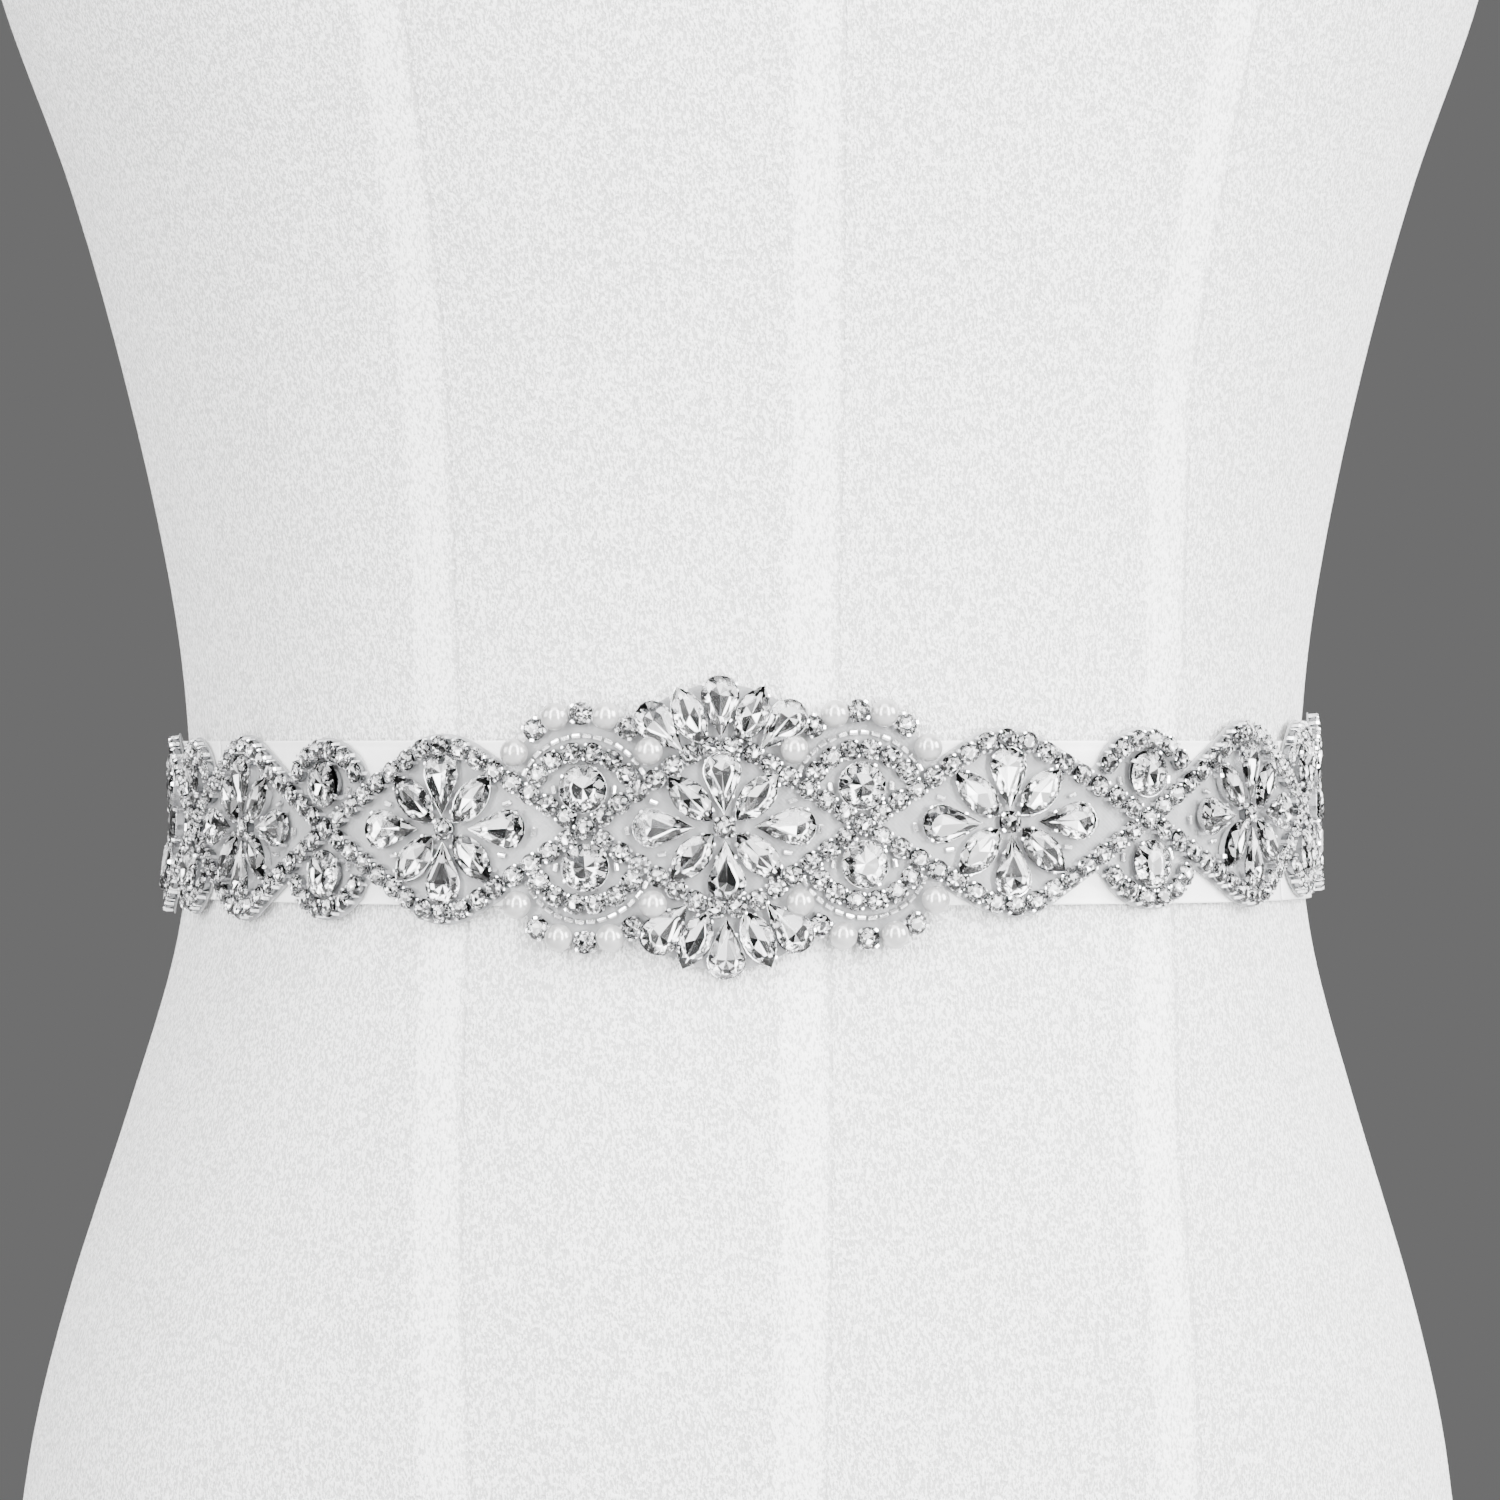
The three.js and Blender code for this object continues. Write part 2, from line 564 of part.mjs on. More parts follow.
function panels() {
  const pieces = ornaments();
  const [first, second, third] = MOTIFS.filter((m) => m.kind === "flower").map((m) => m.at);
  const end = MOTIFS.at(-1).at + CHAIN.width * 2;
  const half = PIECE_GAP / 2;
  const seams = [
    ["flower_1", [first - FLOWER_REACH, PEARL_SEAM_STEP], [first + FLOWER_REACH, 0]],
    ["link_2", [first + FLOWER_REACH, 0], [second - FLOWER_REACH, 0]],
    ["flower_2", [second - FLOWER_REACH, 0], [second + FLOWER_REACH, 0]],
    ["link_3", [second + FLOWER_REACH, 0], [third - FLOWER_REACH, 0]],
    ["flower_3", [third - FLOWER_REACH, 0], [end, 0]],
  ];
  const inner = seams[0][1];
  const made = [["applique_medallion", panel(pieces, mirror(inner, half), shift(inner, -half))]];
  for (const [name, from, to] of seams) {
    made.push([`applique_right_${name}`, panel(pieces, shift(from, half), shift(to, -half))]);
    made.push([`applique_left_${name}`, panel(pieces, mirror(to, half), mirror(from, -half))]);
  }
  return made;
}

const shift = ([at, step], by) => [at + by, step];
const mirror = ([at, step], by) => [-at + by, -step];

// The finishes and the assembled group
const paint = (color, roughness, metalness = 0) =>
  new THREE.MeshStandardMaterial({ color, roughness, metalness });
const FORM_COVER = paint(0xf2f2f0, 0.85);
const FORM_BOARD = paint(0xe4e4e2, 0.5);
const SATIN = paint(0xfbfbf9, 0.35);
const CRYSTAL = paint(0xdfe2e6, 0.12, 0.4);

const group = new THREE.Group();

function show(name, geometry, material) {
  const mesh = new THREE.Mesh(geometry, material);
  mesh.name = name;
  group.add(mesh);
}

show("form_torso", torso(), FORM_COVER);
show("form_base_board", baseBoard(), FORM_BOARD);
show("form_neck_cap", neckCap(), FORM_BOARD);

const SIDE_SEAM = 150; // along the ribbon from the medallion, where its front stretch ends
const RIBBON_END = KNOT_AT - KNOT.halfWidth - PIECE_GAP;
show("ribbon_front", ribbon(-SIDE_SEAM, SIDE_SEAM), SATIN);
show("ribbon_right", ribbon(SIDE_SEAM + PIECE_GAP, RIBBON_END), SATIN);
show("ribbon_left", ribbon(-RIBBON_END, -SIDE_SEAM - PIECE_GAP), SATIN);
show("ribbon_knot", knot(), SATIN);
show("ribbon_tail_right", tail(-1), SATIN);
show("ribbon_tail_left", tail(1), SATIN);
panels().forEach(([name, geometry]) => show(name, geometry, CRYSTAL));

export default group;
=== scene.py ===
import math

import bpy
import numpy as np
from mathutils import Matrix, Vector


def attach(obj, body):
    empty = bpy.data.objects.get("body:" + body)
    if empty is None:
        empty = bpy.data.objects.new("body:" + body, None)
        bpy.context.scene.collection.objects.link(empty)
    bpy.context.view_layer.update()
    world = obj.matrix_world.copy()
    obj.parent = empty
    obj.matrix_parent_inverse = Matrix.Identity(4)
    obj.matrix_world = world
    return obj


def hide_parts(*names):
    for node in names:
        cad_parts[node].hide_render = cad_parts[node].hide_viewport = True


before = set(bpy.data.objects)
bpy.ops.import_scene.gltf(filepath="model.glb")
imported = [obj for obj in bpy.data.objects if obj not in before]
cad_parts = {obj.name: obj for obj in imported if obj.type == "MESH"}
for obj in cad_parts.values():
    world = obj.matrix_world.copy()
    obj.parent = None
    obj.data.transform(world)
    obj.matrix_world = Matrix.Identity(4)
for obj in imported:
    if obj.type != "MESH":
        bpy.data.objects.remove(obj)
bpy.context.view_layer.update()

MM = 0.001

# The photograph's camera: level, straight on to the medallion
CAMERA_DISTANCE = 1825
CAMERA_HEIGHT = 262
CAMERA_ASIDE = 2.6
LENS_PER_SENSOR = 5.334

# Lamps: place and size in metres, power in watts
LAMPS = (
    ("softbox_left", (-0.9, -1.5, 0.85), (0.4, 2.4), 98),
    ("softbox_right", (0.9, -1.5, 0.85), (0.4, 2.4), 118),
    ("panel_left", (-2.1, -0.6, 0.95), (1.1, 1.4), 52),
    ("panel_right", (2.1, -0.6, 0.95), (1.1, 1.4), 150),
    ("panel_front", (0.0, -3.2, 0.9), (1.2, 1.0), 26),
    ("panel_top", (0.0, -0.9, 2.2), (1.5, 1.1), 56),
    ("panel_back", (1.3, 1.9, 1.3), (1.2, 1.6), 90),
)
WORLD_GREY = 0.16
FLOOR_RADIUS = 900
FLOOR_LEVEL = -0.2

# The dress form, turned a little under the sash, and where its seams run round it, as turns
# from the centre front
FORM_TURN = 0.19
STITCH_STEP = 5.5
STITCH_SHARE = 0.14
ALLOWANCE = 12
SEAM_COLUMNS = ("z", "centre_front", "princess_left", "princess_right")
SEAM_ROUTES = (
    (0, -0.03, -0.42, 0.4),
    (105, -0.022, -0.437, 0.405),
    (180, -0.011, -0.5, 0.414),
    (280, -0.005, -0.555, 0.485),
    (340, -0.007, -0.545, 0.458),
    (420, -0.014, -0.537, 0.476),
    (540, -0.01, -0.6, 0.56),
    (640, 0, -0.75, 0.75),
    (725, 0, -0.8, 0.8),
)
BASE_THICKNESS = 12
BASE_EDGE = ((0, -3.2), (1.2, -2), (9.4, -2), (11.2, -2.8), (BASE_THICKNESS, -4.6))
CAP_THICKNESS = 9
CAP_EDGE = ((0, 0), (4.05, 0), (6.8, -0.9), (8.3, -2.2), (CAP_THICKNESS, -4.5))
NECK_TOP = 725
PIECE_GAP = 0.3

# The form's level sections: half the width, depth in front of and behind the widest line, how
# far back that line lies, and how square the section is
SECTION_NAMES = ("z", "half", "front", "back", "shift", "square")
FORM_SECTIONS = (
    (0, 159, 126, 104, 0, 2.4),
    (20, 162.5, 130, 110, 0, 2.4),
    (60, 165.5, 134, 117, 0, 2.4),
    (102, 161.5, 137, 112, 0, 2.5),
    (137, 153.3, 137, 101, 0, 2.6),
    (182, 138.9, 134, 85, 0, 2.8),
    (216, 128.8, 131.3, 75.5, 0, 3),
    (240, 125.6, 130, 72.3, 0, 3),
    (264, 125.5, 130, 72, 0, 3),
    (296, 129.2, 131.5, 74, 0, 2.9),
    (342, 139.2, 136, 80, 0, 2.7),
    (388, 152.2, 143, 87, 0, 2.6),
    (433, 168.5, 149, 93, 0, 2.5),
    (475, 178, 150, 98, 0, 2.5),
    (525, 180, 138, 102, 0, 2.5),
    (575, 177.5, 118, 101, 0, 2.5),
    (612, 170, 98, 92, 0, 2.4),
    (636, 150, 84, 82, -2, 2.3),
    (654, 114, 72, 70, -5, 2.2),
    (670, 78, 60, 60, -10, 2),
    (692, 61, 55, 55, -16, 2),
    (NECK_TOP, 57, 53, 53, -22, 2),
)

# The sash, outwards from the form: ribbon, net, stones
SASH_HEIGHT = 246.5
RIBBON_WIDTH = 35
RIBBON_UNDER = 1.0
RIBBON_THICK = 0.45
NET_UNDER = 1.9
NET_THICK = 0.3
NET_TOP = NET_UNDER + NET_THICK
NET_SETTLE = 0.9
NET_MARGIN = 0.2
STONE_REACH = 5
MEDALLION_OFFSET = -28.5
APPLIQUE_DROP = 0.8
APPLIQUE_RISE = 0.012
APPLIQUE_SAG = 0.9
SAG_SPAN = 130
APPLIQUE_LEAN = 0.04
SIDE_SEAM = 150

# The applique's motifs to the right of the medallion, mirrored to the left: how far along, and
# how high the chain's apex is
MOTIFS = (
    ("medallion", 0, 17.2),
    ("pearl_link", 29.9, 0),
    ("flower", 62.2, 17.8),
    ("link", 96, 0),
    ("flower", 129.8, 17.8),
    ("link", 163.6, 0),
    ("flower", 197.4, 17.8),
    ("end", 227.4, 0),
)

# Stones and beads
PETAL_SIZE = (13.2, 8.2)
NAVETTE_SIZE = (13.3, 7.0)
NAVETTE_FULLNESS = 2.3
ROUND_RADIUS = 5.1
CLAW_RADIUS = 2.45
PEARL_RADIUS = 3.0
CHAIN_RADIUS = 2.35
CHAIN_PITCH = 4.95
APEX_RADIUS = 14
BUGLE_SIZE = (1.8, 0.6)
BEAD_GAP = 0.45

# Places from a motif's middle, with the way each piece points in degrees
FLOWER_PETALS = (
    ("petal", 0, 2.8, 90),
    ("petal", 0, -2.8, -90),
    ("petal", 6.4, 0, 0),
    ("petal", -6.4, 0, 180),
    ("navette", 2.5, 1.4, 45.5),
    ("navette", -2.5, 1.4, 134.5),
    ("navette", 2.5, -1.4, -45.5),
    ("navette", -2.5, -1.4, -134.5),
)
CROWN_STONES = (
    ("petal", 0, 18.9, 90),
    ("navette", 3.9, 17.7, 65),
    ("navette", -3.9, 17.7, 115),
    ("petal", 8.3, 16.2, 47),
    ("petal", -8.3, 16.2, 133),
)
FLOWER_BUGLES = ((15, 5.4, 20), (20.8, -0.6, 80), (13.5, -5.6, -8))
LINKS = {"pearl_link": (8.35, 4.0, 12.2), "link": (9.7, 4.9, 12.2)}
LINK_BUGLES = ((6.6, 8.2, 82), (-6.6, 8.2, 98))
EYE_STONES = 6
EYE_STEP = 21.2
BEAD_ARC = (5.0, 14.6)
BEAD_ARC_SPAN = (24, 156)
PEARL_ARC = (6.9, 17.2)
PEARL_ANGLES = (33, 71.5, 108.5, 147)
CLAW_ANGLES = (54, 90, 126)
CROWN_ARC = (5.6, 24.7, 19.5)

# Painted reflections: how dark and how bright the mirror foil under a stone's lower facets is painted,
# drawn at random per facet: past 0 and 1 they stay there
LARGE_PAINTED_REFLECTIONS = (-0.05, 2.2)
SMALL_PAINTED_REFLECTIONS = (-0.28, 1.85)

# The tie at the back
KNOT_HALF = 12
KNOT_HIGH = 13.5
KNOT_DEPTH = 12
GATHER_LENGTH = 34
GATHER_NARROW = 0.62
GATHER_FOLD = 2.2
TAIL_LENGTH = 188
TAIL_SLANT = 12
TAIL_CLEARANCE = 1.2
TAIL_OPENED = 16.3
TAIL_SPLAY = 26
TAIL_FOLDS = 2.5
TAIL_GATHERED = 7.2
TAIL_OPENING = 50
TAIL_MIDDLE = (8, 11.5)

TONE_SEED = 5
random_tilt = np.random.default_rng(7)


def smooth(x, low, high):
    t = np.clip((x - low) / (high - low), 0, 1)
    return t * t * (3 - 2 * t)


# The form's surface, and places on the sash

ROWS = {name: np.array([row[i] for row in FORM_SECTIONS], float) for i, name in enumerate(SECTION_NAMES)}


def section_at(z):
    heights = ROWS["z"]
    low = np.clip(np.searchsorted(heights, z, side="right") - 1, 0, len(heights) - 2)
    span = heights[low + 1] - heights[low]
    t = np.clip((z - heights[low]) / span, 0, 1)
    section = {}
    for name in SECTION_NAMES[1:]:
        value = ROWS[name]
        before = np.concatenate([value[:1], value[:-1]])
        after = np.concatenate([value[1:], value[-1:]])
        run = np.concatenate([heights[1:], heights[-1:]]) - np.concatenate([heights[:1], heights[:-1]])
        slope = (after - before) / run
        section[name] = (
            value[low] * (1 + 2 * t) * (1 - t) ** 2
            + slope[low] * span * t * (1 - t) ** 2
            + value[low + 1] * t * t * (3 - 2 * t)
            + slope[low + 1] * span * t * t * (t - 1)
        )
    return section


def over_form(turn, z, out):
    """Points over the form, by turn from its centre front, height, and distance out from its surface."""
    turn, z, out = np.broadcast_arrays(*(np.asarray(value, float) for value in (turn, z, out)))
    section = section_at(z)
    depth = np.where(np.cos(turn) >= 0, section["front"], section["back"])
    side = np.sign(np.sin(turn)) * np.abs(np.sin(turn)) ** (2 / section["square"])
    x = section["half"] * side
    y = -depth * np.cos(turn)
    nx = section["square"] * np.sign(side) * np.abs(side) ** (section["square"] - 1) / section["half"]
    ny = 2 * y / depth**2
    length = np.hypot(nx, ny)
    x = x + nx / length * out
    y = y + ny / length * out + section["shift"]
    cos, sin = math.cos(FORM_TURN), math.sin(FORM_TURN)
    return np.stack([x * cos - y * sin, x * sin + y * cos, z], axis=-1)


TURNS = np.linspace(-math.pi, math.pi, 14401)
waist_line = over_form(TURNS, SASH_HEIGHT, STONE_REACH)
LENGTHS = np.concatenate([[0], np.cumsum(np.linalg.norm(np.diff(waist_line, axis=0), axis=1))])
WAIST = LENGTHS[-1]
MEDALLION_LENGTH = LENGTHS[len(TURNS) // 2] + MEDALLION_OFFSET
KNOT_AT = WAIST / 2


def turn_at(along):
    return np.interp(np.mod(MEDALLION_LENGTH + np.asarray(along, float), WAIST), LENGTHS, TURNS)


def on_sash(u, v, w):
    return over_form(turn_at(u), SASH_HEIGHT + np.asarray(v, float), w)


def over_back(across, z, out):
    """Points over the form's back by distance across, so that a hanging ribbon keeps its width."""
    section = section_at(z)
    side = np.sign(across) * (np.abs(across) / section["half"]) ** (section["square"] / 2)
    return over_form(math.pi - np.arcsin(side), z, out)


knot_middle = over_form(turn_at(KNOT_AT), SASH_HEIGHT, 0)
KNOT_ACROSS = knot_middle[0] * math.cos(FORM_TURN) + knot_middle[1] * math.sin(FORM_TURN)


def on_applique(u, v, w):
    u, v = np.asarray(u, float), np.asarray(v, float)
    height = v - APPLIQUE_DROP + u * APPLIQUE_RISE + APPLIQUE_SAG * (u / SAG_SPAN) ** 2
    settled = NET_SETTLE * smooth(np.abs(height), RIBBON_WIDTH / 2 + 0.5, RIBBON_WIDTH / 2 + 7)
    return on_sash(u - v * APPLIQUE_LEAN, height, w - settled)


# Meshes

def add_object(name, points, faces, materials, body="root", smooth_shaded=True):
    mesh = bpy.data.meshes.new(name)
    mesh.from_pydata([tuple(p) for p in np.asarray(points).reshape(-1, 3) * MM], [], faces)
    mesh.validate()
    for material in materials:
        mesh.materials.append(material)
    mesh.polygons.foreach_set("use_smooth", [smooth_shaded] * len(mesh.polygons))
    mesh.update()
    piece = bpy.data.objects.new(name, mesh)
    bpy.context.scene.collection.objects.link(piece)
    if body:
        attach(piece, body)
    return piece


def add_uv(piece, uv):
    layer = piece.data.uv_layers.new(name="cloth")
    corners = np.empty(len(piece.data.loops), int)
    piece.data.loops.foreach_get("vertex_index", corners)
    layer.data.foreach_set("uv", np.asarray(uv, float)[corners].ravel())


def scale_uv(piece, fit):
    """Changes a cloth's UV map from shares to metres of its cut."""
    layer = piece.data.uv_layers["cloth"]
    uv = np.empty(len(layer.data) * 2)
    layer.data.foreach_get("uv", uv)
    across, along = fit(uv[0::2], uv[1::2])
    layer.data.foreach_set("uv", np.column_stack([across, along]).ravel())


def face_out(piece):
    """Turns a closed mesh's faces outwards."""
    mesh = piece.data
    corners = np.empty(len(mesh.vertices) * 3)
    mesh.vertices.foreach_get("co", corners)
    points = corners.reshape(-1, 3)
    mesh.calc_loop_triangles()
    triangles = np.array([t.vertices for t in mesh.loop_triangles])
    a, b, c = (points[triangles[:, i]] for i in range(3))
    if np.einsum("ij,ij->i", a, np.cross(b, c)).sum() < 0:
        mesh.flip_normals()


def grid_faces(columns, rows, offset=0, loop=False):
    """Quads over a grid stored column by column."""
    faces = []
    for i in range(columns if loop else columns - 1):
        for j in range(rows - 1):
            a = offset + i * rows + j
            b = offset + ((i + 1) % columns) * rows + j
            faces.append((a, b, b + 1, a + 1))
    return faces


def ring_faces(rings, sides, first=0, capped=True):
    """Quads round a stack of rings stored ring by ring, with a face over each end."""
    faces = []
    for k in range(rings - 1):
        for i in range(sides):
            a, b = first + k * sides + i, first + k * sides + (i + 1) % sides
            faces.append((a, b, b + sides, a + sides))
    if capped:
        faces.append(tuple(range(sides))[::-1])
        faces.append(tuple((rings - 1) * sides + i for i in range(sides)))
    return faces


def cloth_wall(name, across, along, point, thickness, material):
    """A closed thin wall of cloth over a grid, with its cut size as its UV map."""
    columns, rows = len(across), len(along)
    grid_u, grid_v = np.meshgrid(across, along, indexing="ij")
    inner, outer = (point(grid_u, grid_v, out).reshape(-1, 3) for out in (0, thickness))
    count = columns * rows
    faces = [face[::-1] for face in grid_faces(columns, rows)] + grid_faces(columns, rows, count)
    rim = [(i, 0) for i in range(columns)] + [(columns - 1, j) for j in range(1, rows)]
    rim += [(i, rows - 1) for i in range(columns - 2, -1, -1)] + [(0, j) for j in range(rows - 2, 0, -1)]
    edge = [i * rows + j for i, j in rim]
    for k, a in enumerate(edge):
        b = edge[(k + 1) % len(edge)]
        faces.append((a, b, b + count, a + count))
    piece = add_object(name, np.concatenate([inner, outer]), faces, [material])
    uv = np.stack([grid_u.ravel(), grid_v.ravel()], axis=1)
    add_uv(piece, np.concatenate([uv, uv]) * MM)
    face_out(piece)
    return piece


# Material building blocks

def new_group(name, inputs, outputs):
    group = bpy.data.node_groups.new(name, "ShaderNodeTree")
    for label, kind, value in inputs:
        socket = group.interface.new_socket(name=label, in_out="INPUT", socket_type=kind)
        if value is not None:
            socket.default_value = value
    for label, kind in outputs:
        group.interface.new_socket(name=label, in_out="OUTPUT", socket_type=kind)
    return group, group.nodes.new("NodeGroupInput"), group.nodes.new("NodeGroupOutput")


def node(tree, kind, inputs=(), **settings):
    made = tree.nodes.new(kind)
    for name, value in settings.items():
        setattr(made, name, value)
    for key, value in dict(inputs).items():
        if isinstance(value, bpy.types.NodeSocket):
            tree.links.new(value, made.inputs[key])
        else:
            made.inputs[key].default_value = value
    return made


def maths(tree, operation, a, b=0.0, c=0.0):
    return node(tree, "ShaderNodeMath", {0: a, 1: b, 2: c}, operation=operation).outputs[0]


def make_weave_group():
    """Threads crossing over and under each other, from a position in metres."""
    group, start, end = new_group(
        "woven_threads",
        [("Position", "NodeSocketVector", None), ("Threads Across", "NodeSocketFloat", 3000.0),
         ("Threads Along", "NodeSocketFloat", 3000.0)],
        [("Height", "NodeSocketFloat")],
    )
    parts = node(group, "ShaderNodeSeparateXYZ", {0: start.outputs["Position"]})
    across, along = (
        maths(group, "SINE", maths(group, "MULTIPLY", parts.outputs[i], start.outputs[threads]))
        for i, threads in enumerate(("Threads Across", "Threads Along"))
    )
    crossed = maths(group, "MULTIPLY", across, along)
    group.links.new(maths(group, "MULTIPLY_ADD", crossed, 0.5, 0.5), end.inputs["Height"])
    return group


def make_mottle_group():
    """A soft uneven value between two ends, from a position in metres."""
    group, start, end = new_group(
        "soft_mottle",
        [("Position", "NodeSocketVector", None), ("Scale", "NodeSocketFloat", 100.0),
         ("Low", "NodeSocketFloat", 0.0), ("High", "NodeSocketFloat", 1.0)],
        [("Value", "NodeSocketFloat")],
    )
    noise = node(group, "ShaderNodeTexNoise",
                 {"Vector": start.outputs["Position"], "Scale": start.outputs["Scale"], "Detail": 3.0})
    spread = node(group, "ShaderNodeMapRange",
                  {"Value": noise.outputs["Fac"], "From Min": 0.3, "From Max": 0.7,
                   "To Min": start.outputs["Low"], "To Max": start.outputs["High"]})
    group.links.new(spread.outputs[0], end.inputs["Value"])
    return group


WEAVE = make_weave_group()
MOTTLE = make_mottle_group()


def start_material(name, **values):
    material = bpy.data.materials.new(name)
    material.use_nodes = True
    tree = material.node_tree
    shader = tree.nodes["Principled BSDF"]
    for key, value in values.items():
        shader.inputs[key.replace("_", " ")].default_value = value
    place = node(tree, "ShaderNodeTexCoord")
    return material, tree, shader, place


def group_node(tree, group, **inputs):
    made = tree.nodes.new("ShaderNodeGroup")
    made.node_tree = group
    for key, value in inputs.items():
        socket = made.inputs[key.replace("_", " ")]
        if isinstance(value, bpy.types.NodeSocket):
            tree.links.new(value, socket)
        else:
            socket.default_value = value
    return made.outputs[0]


def mottle(tree, position, scale, low=0.0, high=1.0):
    return group_node(tree, MOTTLE, Position=position, Scale=scale, Low=low, High=high)


def paint(tree, shader, mask, low, high):
    """A base colour between two tones."""
    mix = node(tree, "ShaderNodeMix", {"Factor": mask}, data_type="RGBA")
    mix.inputs[6].default_value = (*low, 1)
    mix.inputs[7].default_value = (*high, 1)
    tree.links.new(mix.outputs[2], shader.inputs["Base Color"])


def emboss(tree, shader, height, distance):
    """A relief of the given depth in metres."""
    made = node(tree, "ShaderNodeBump", {"Height": height, "Distance": distance})
    tree.links.new(made.outputs[0], shader.inputs["Normal"])


SEAM_NAMES = ("centre_front", "princess_left", "princess_right", "centre_back", "side_left", "side_right")


def make_form_fabric():
    """Brushed jersey with its seams: a crease darkened with painted shade, small stitches, and a painted
    highlight on the allowance.
    """
    material, tree, shader, place = start_material(
        "form_jersey", Roughness=0.9, Sheen_Weight=0.1, Sheen_Roughness=0.5, IOR=1.4)
    position = node(tree, "ShaderNodeVectorMath", {0: place.outputs["Object"], 1: (1, 1, 0.5)},
                    operation="MULTIPLY").outputs[0]
    fine = mottle(tree, position, 2300.0)
    broad = mottle(tree, position, 1200.0)
    nap = maths(tree, "MULTIPLY_ADD", broad, 0.4, maths(tree, "MULTIPLY", fine, 0.6))
    height = node(tree, "ShaderNodeSeparateXYZ", {0: place.outputs["Object"]}).outputs[2]
    stitches = maths(tree, "FRACT", maths(tree, "MULTIPLY", height, 1 / (STITCH_STEP * MM)))
    stitch = maths(tree, "LESS_THAN", stitches, STITCH_SHARE)
    wander = maths(tree, "MULTIPLY", maths(tree, "SUBTRACT", broad, 0.5), 0.5)
    crease = allowance = None
    for name in SEAM_NAMES:
        straight = node(tree, "ShaderNodeAttribute", attribute_name=name).outputs["Fac"]
        distance = maths(tree, "ADD", straight, wander)
        near = node(tree, "ShaderNodeMapRange",
                    {"Value": maths(tree, "ABSOLUTE", distance), "From Min": 0.0, "From Max": 0.8,
                     "To Min": 1.0, "To Max": 0.0}, interpolation_type="SMOOTHSTEP").outputs[0]
        inside = node(tree, "ShaderNodeMapRange",
                      {"Value": maths(tree, "ABSOLUTE", maths(tree, "ADD", distance, ALLOWANCE / 2)),
                       "From Min": ALLOWANCE / 2 - 2.5, "From Max": ALLOWANCE / 2 + 0.6,
                       "To Min": 1.0, "To Max": 0.0}, interpolation_type="SMOOTHSTEP").outputs[0]
        crease = near if crease is None else maths(tree, "MAXIMUM", crease, near)
        allowance = inside if allowance is None else maths(tree, "MAXIMUM", allowance, inside)
    swing = maths(tree, "SUBTRACT", 7.5, maths(tree, "MULTIPLY", allowance, 3.5))
    calm = maths(tree, "ADD", maths(tree, "MULTIPLY", maths(tree, "SUBTRACT", nap, 0.5), swing), 0.5)
    # Painted shade: the seam crease is darkened, more where the stitches fall
    crease_shade_and_stitches = maths(tree, "MULTIPLY", crease, maths(tree, "MULTIPLY_ADD", stitch, 0.6, 0.65))
    relief = maths(tree, "MULTIPLY_ADD", calm, 0.16, maths(tree, "MULTIPLY", allowance, 0.25))
    relief = maths(tree, "MULTIPLY_ADD", crease, -0.6, relief)
    emboss(tree, shader, relief, 0.0007)
    # Painted highlight: the seam allowance is lightened where its ridge catches the light, and the crease
    # shade is taken off
    cloth_tone_and_painted_light = maths(tree, "MULTIPLY_ADD", allowance, 0.25, maths(tree, "SUBTRACT", calm, crease_shade_and_stitches))
    paint(tree, shader, cloth_tone_and_painted_light, (0.55, 0.55, 0.55), (0.98, 0.98, 0.98))
    return material


def make_form_board():
    material, tree, shader, place = start_material("form_board_lacquer", Roughness=0.5)
    rough = mottle(tree, place.outputs["Object"], 60.0, 0.35, 0.6)
    tree.links.new(rough, shader.inputs["Roughness"])
    tone = mottle(tree, place.outputs["Object"], 25.0)
    paint(tree, shader, tone, (0.74, 0.74, 0.73), (0.8, 0.8, 0.79))
    grit = mottle(tree, place.outputs["Object"], 900.0)
    emboss(tree, shader, grit, 0.00005)
    return material


def make_satin():
    material, tree, shader, place = start_material(
        "white_satin", Roughness=0.3, Sheen_Weight=0.15, Sheen_Roughness=0.4, Anisotropic=0.5, IOR=1.6)
    uv = place.outputs["UV"]
    threads = group_node(tree, WEAVE, Position=uv, Threads_Across=24000.0, Threads_Along=9000.0)
    slub = mottle(tree, uv, 240.0)
    height = maths(tree, "ADD", maths(tree, "MULTIPLY", threads, 0.35), slub)
    emboss(tree, shader, height, 0.00006)
    paint(tree, shader, slub, (0.78, 0.78, 0.78), (0.85, 0.85, 0.845))
    rough = mottle(tree, uv, 90.0, 0.24, 0.36)
    tree.links.new(rough, shader.inputs["Roughness"])
    return material


def make_net():
    material, tree, shader, place = start_material(
        "glued_net", Roughness=0.3, IOR=1.45, Coat_Weight=0.25, Coat_Roughness=0.15)
    uv = place.outputs["UV"]
    mesh = group_node(tree, WEAVE, Position=uv, Threads_Across=6000.0, Threads_Along=6000.0)
    pools = mottle(tree, uv, 160.0)
    paint(tree, shader, pools, (0.3, 0.304, 0.308), (0.38, 0.385, 0.39))
    cover = node(tree, "ShaderNodeMapRange", {"Value": pools, "To Min": 0.55, "To Max": 0.75}).outputs[0]
    tree.links.new(cover, shader.inputs["Alpha"])
    height = maths(tree, "ADD", maths(tree, "MULTIPLY", mesh, 0.3), pools)
    emboss(tree, shader, height, 0.00015)
    return material


def make_glass():
    material, tree, shader, place = start_material(
        "cut_crystal", Roughness=0.0, IOR=1.52, Transmission_Weight=1.0, Base_Color=(1, 1, 1, 1))
    wear = mottle(tree, place.outputs["Object"], 700.0)
    emboss(tree, shader, wear, 0.000004)
    return material


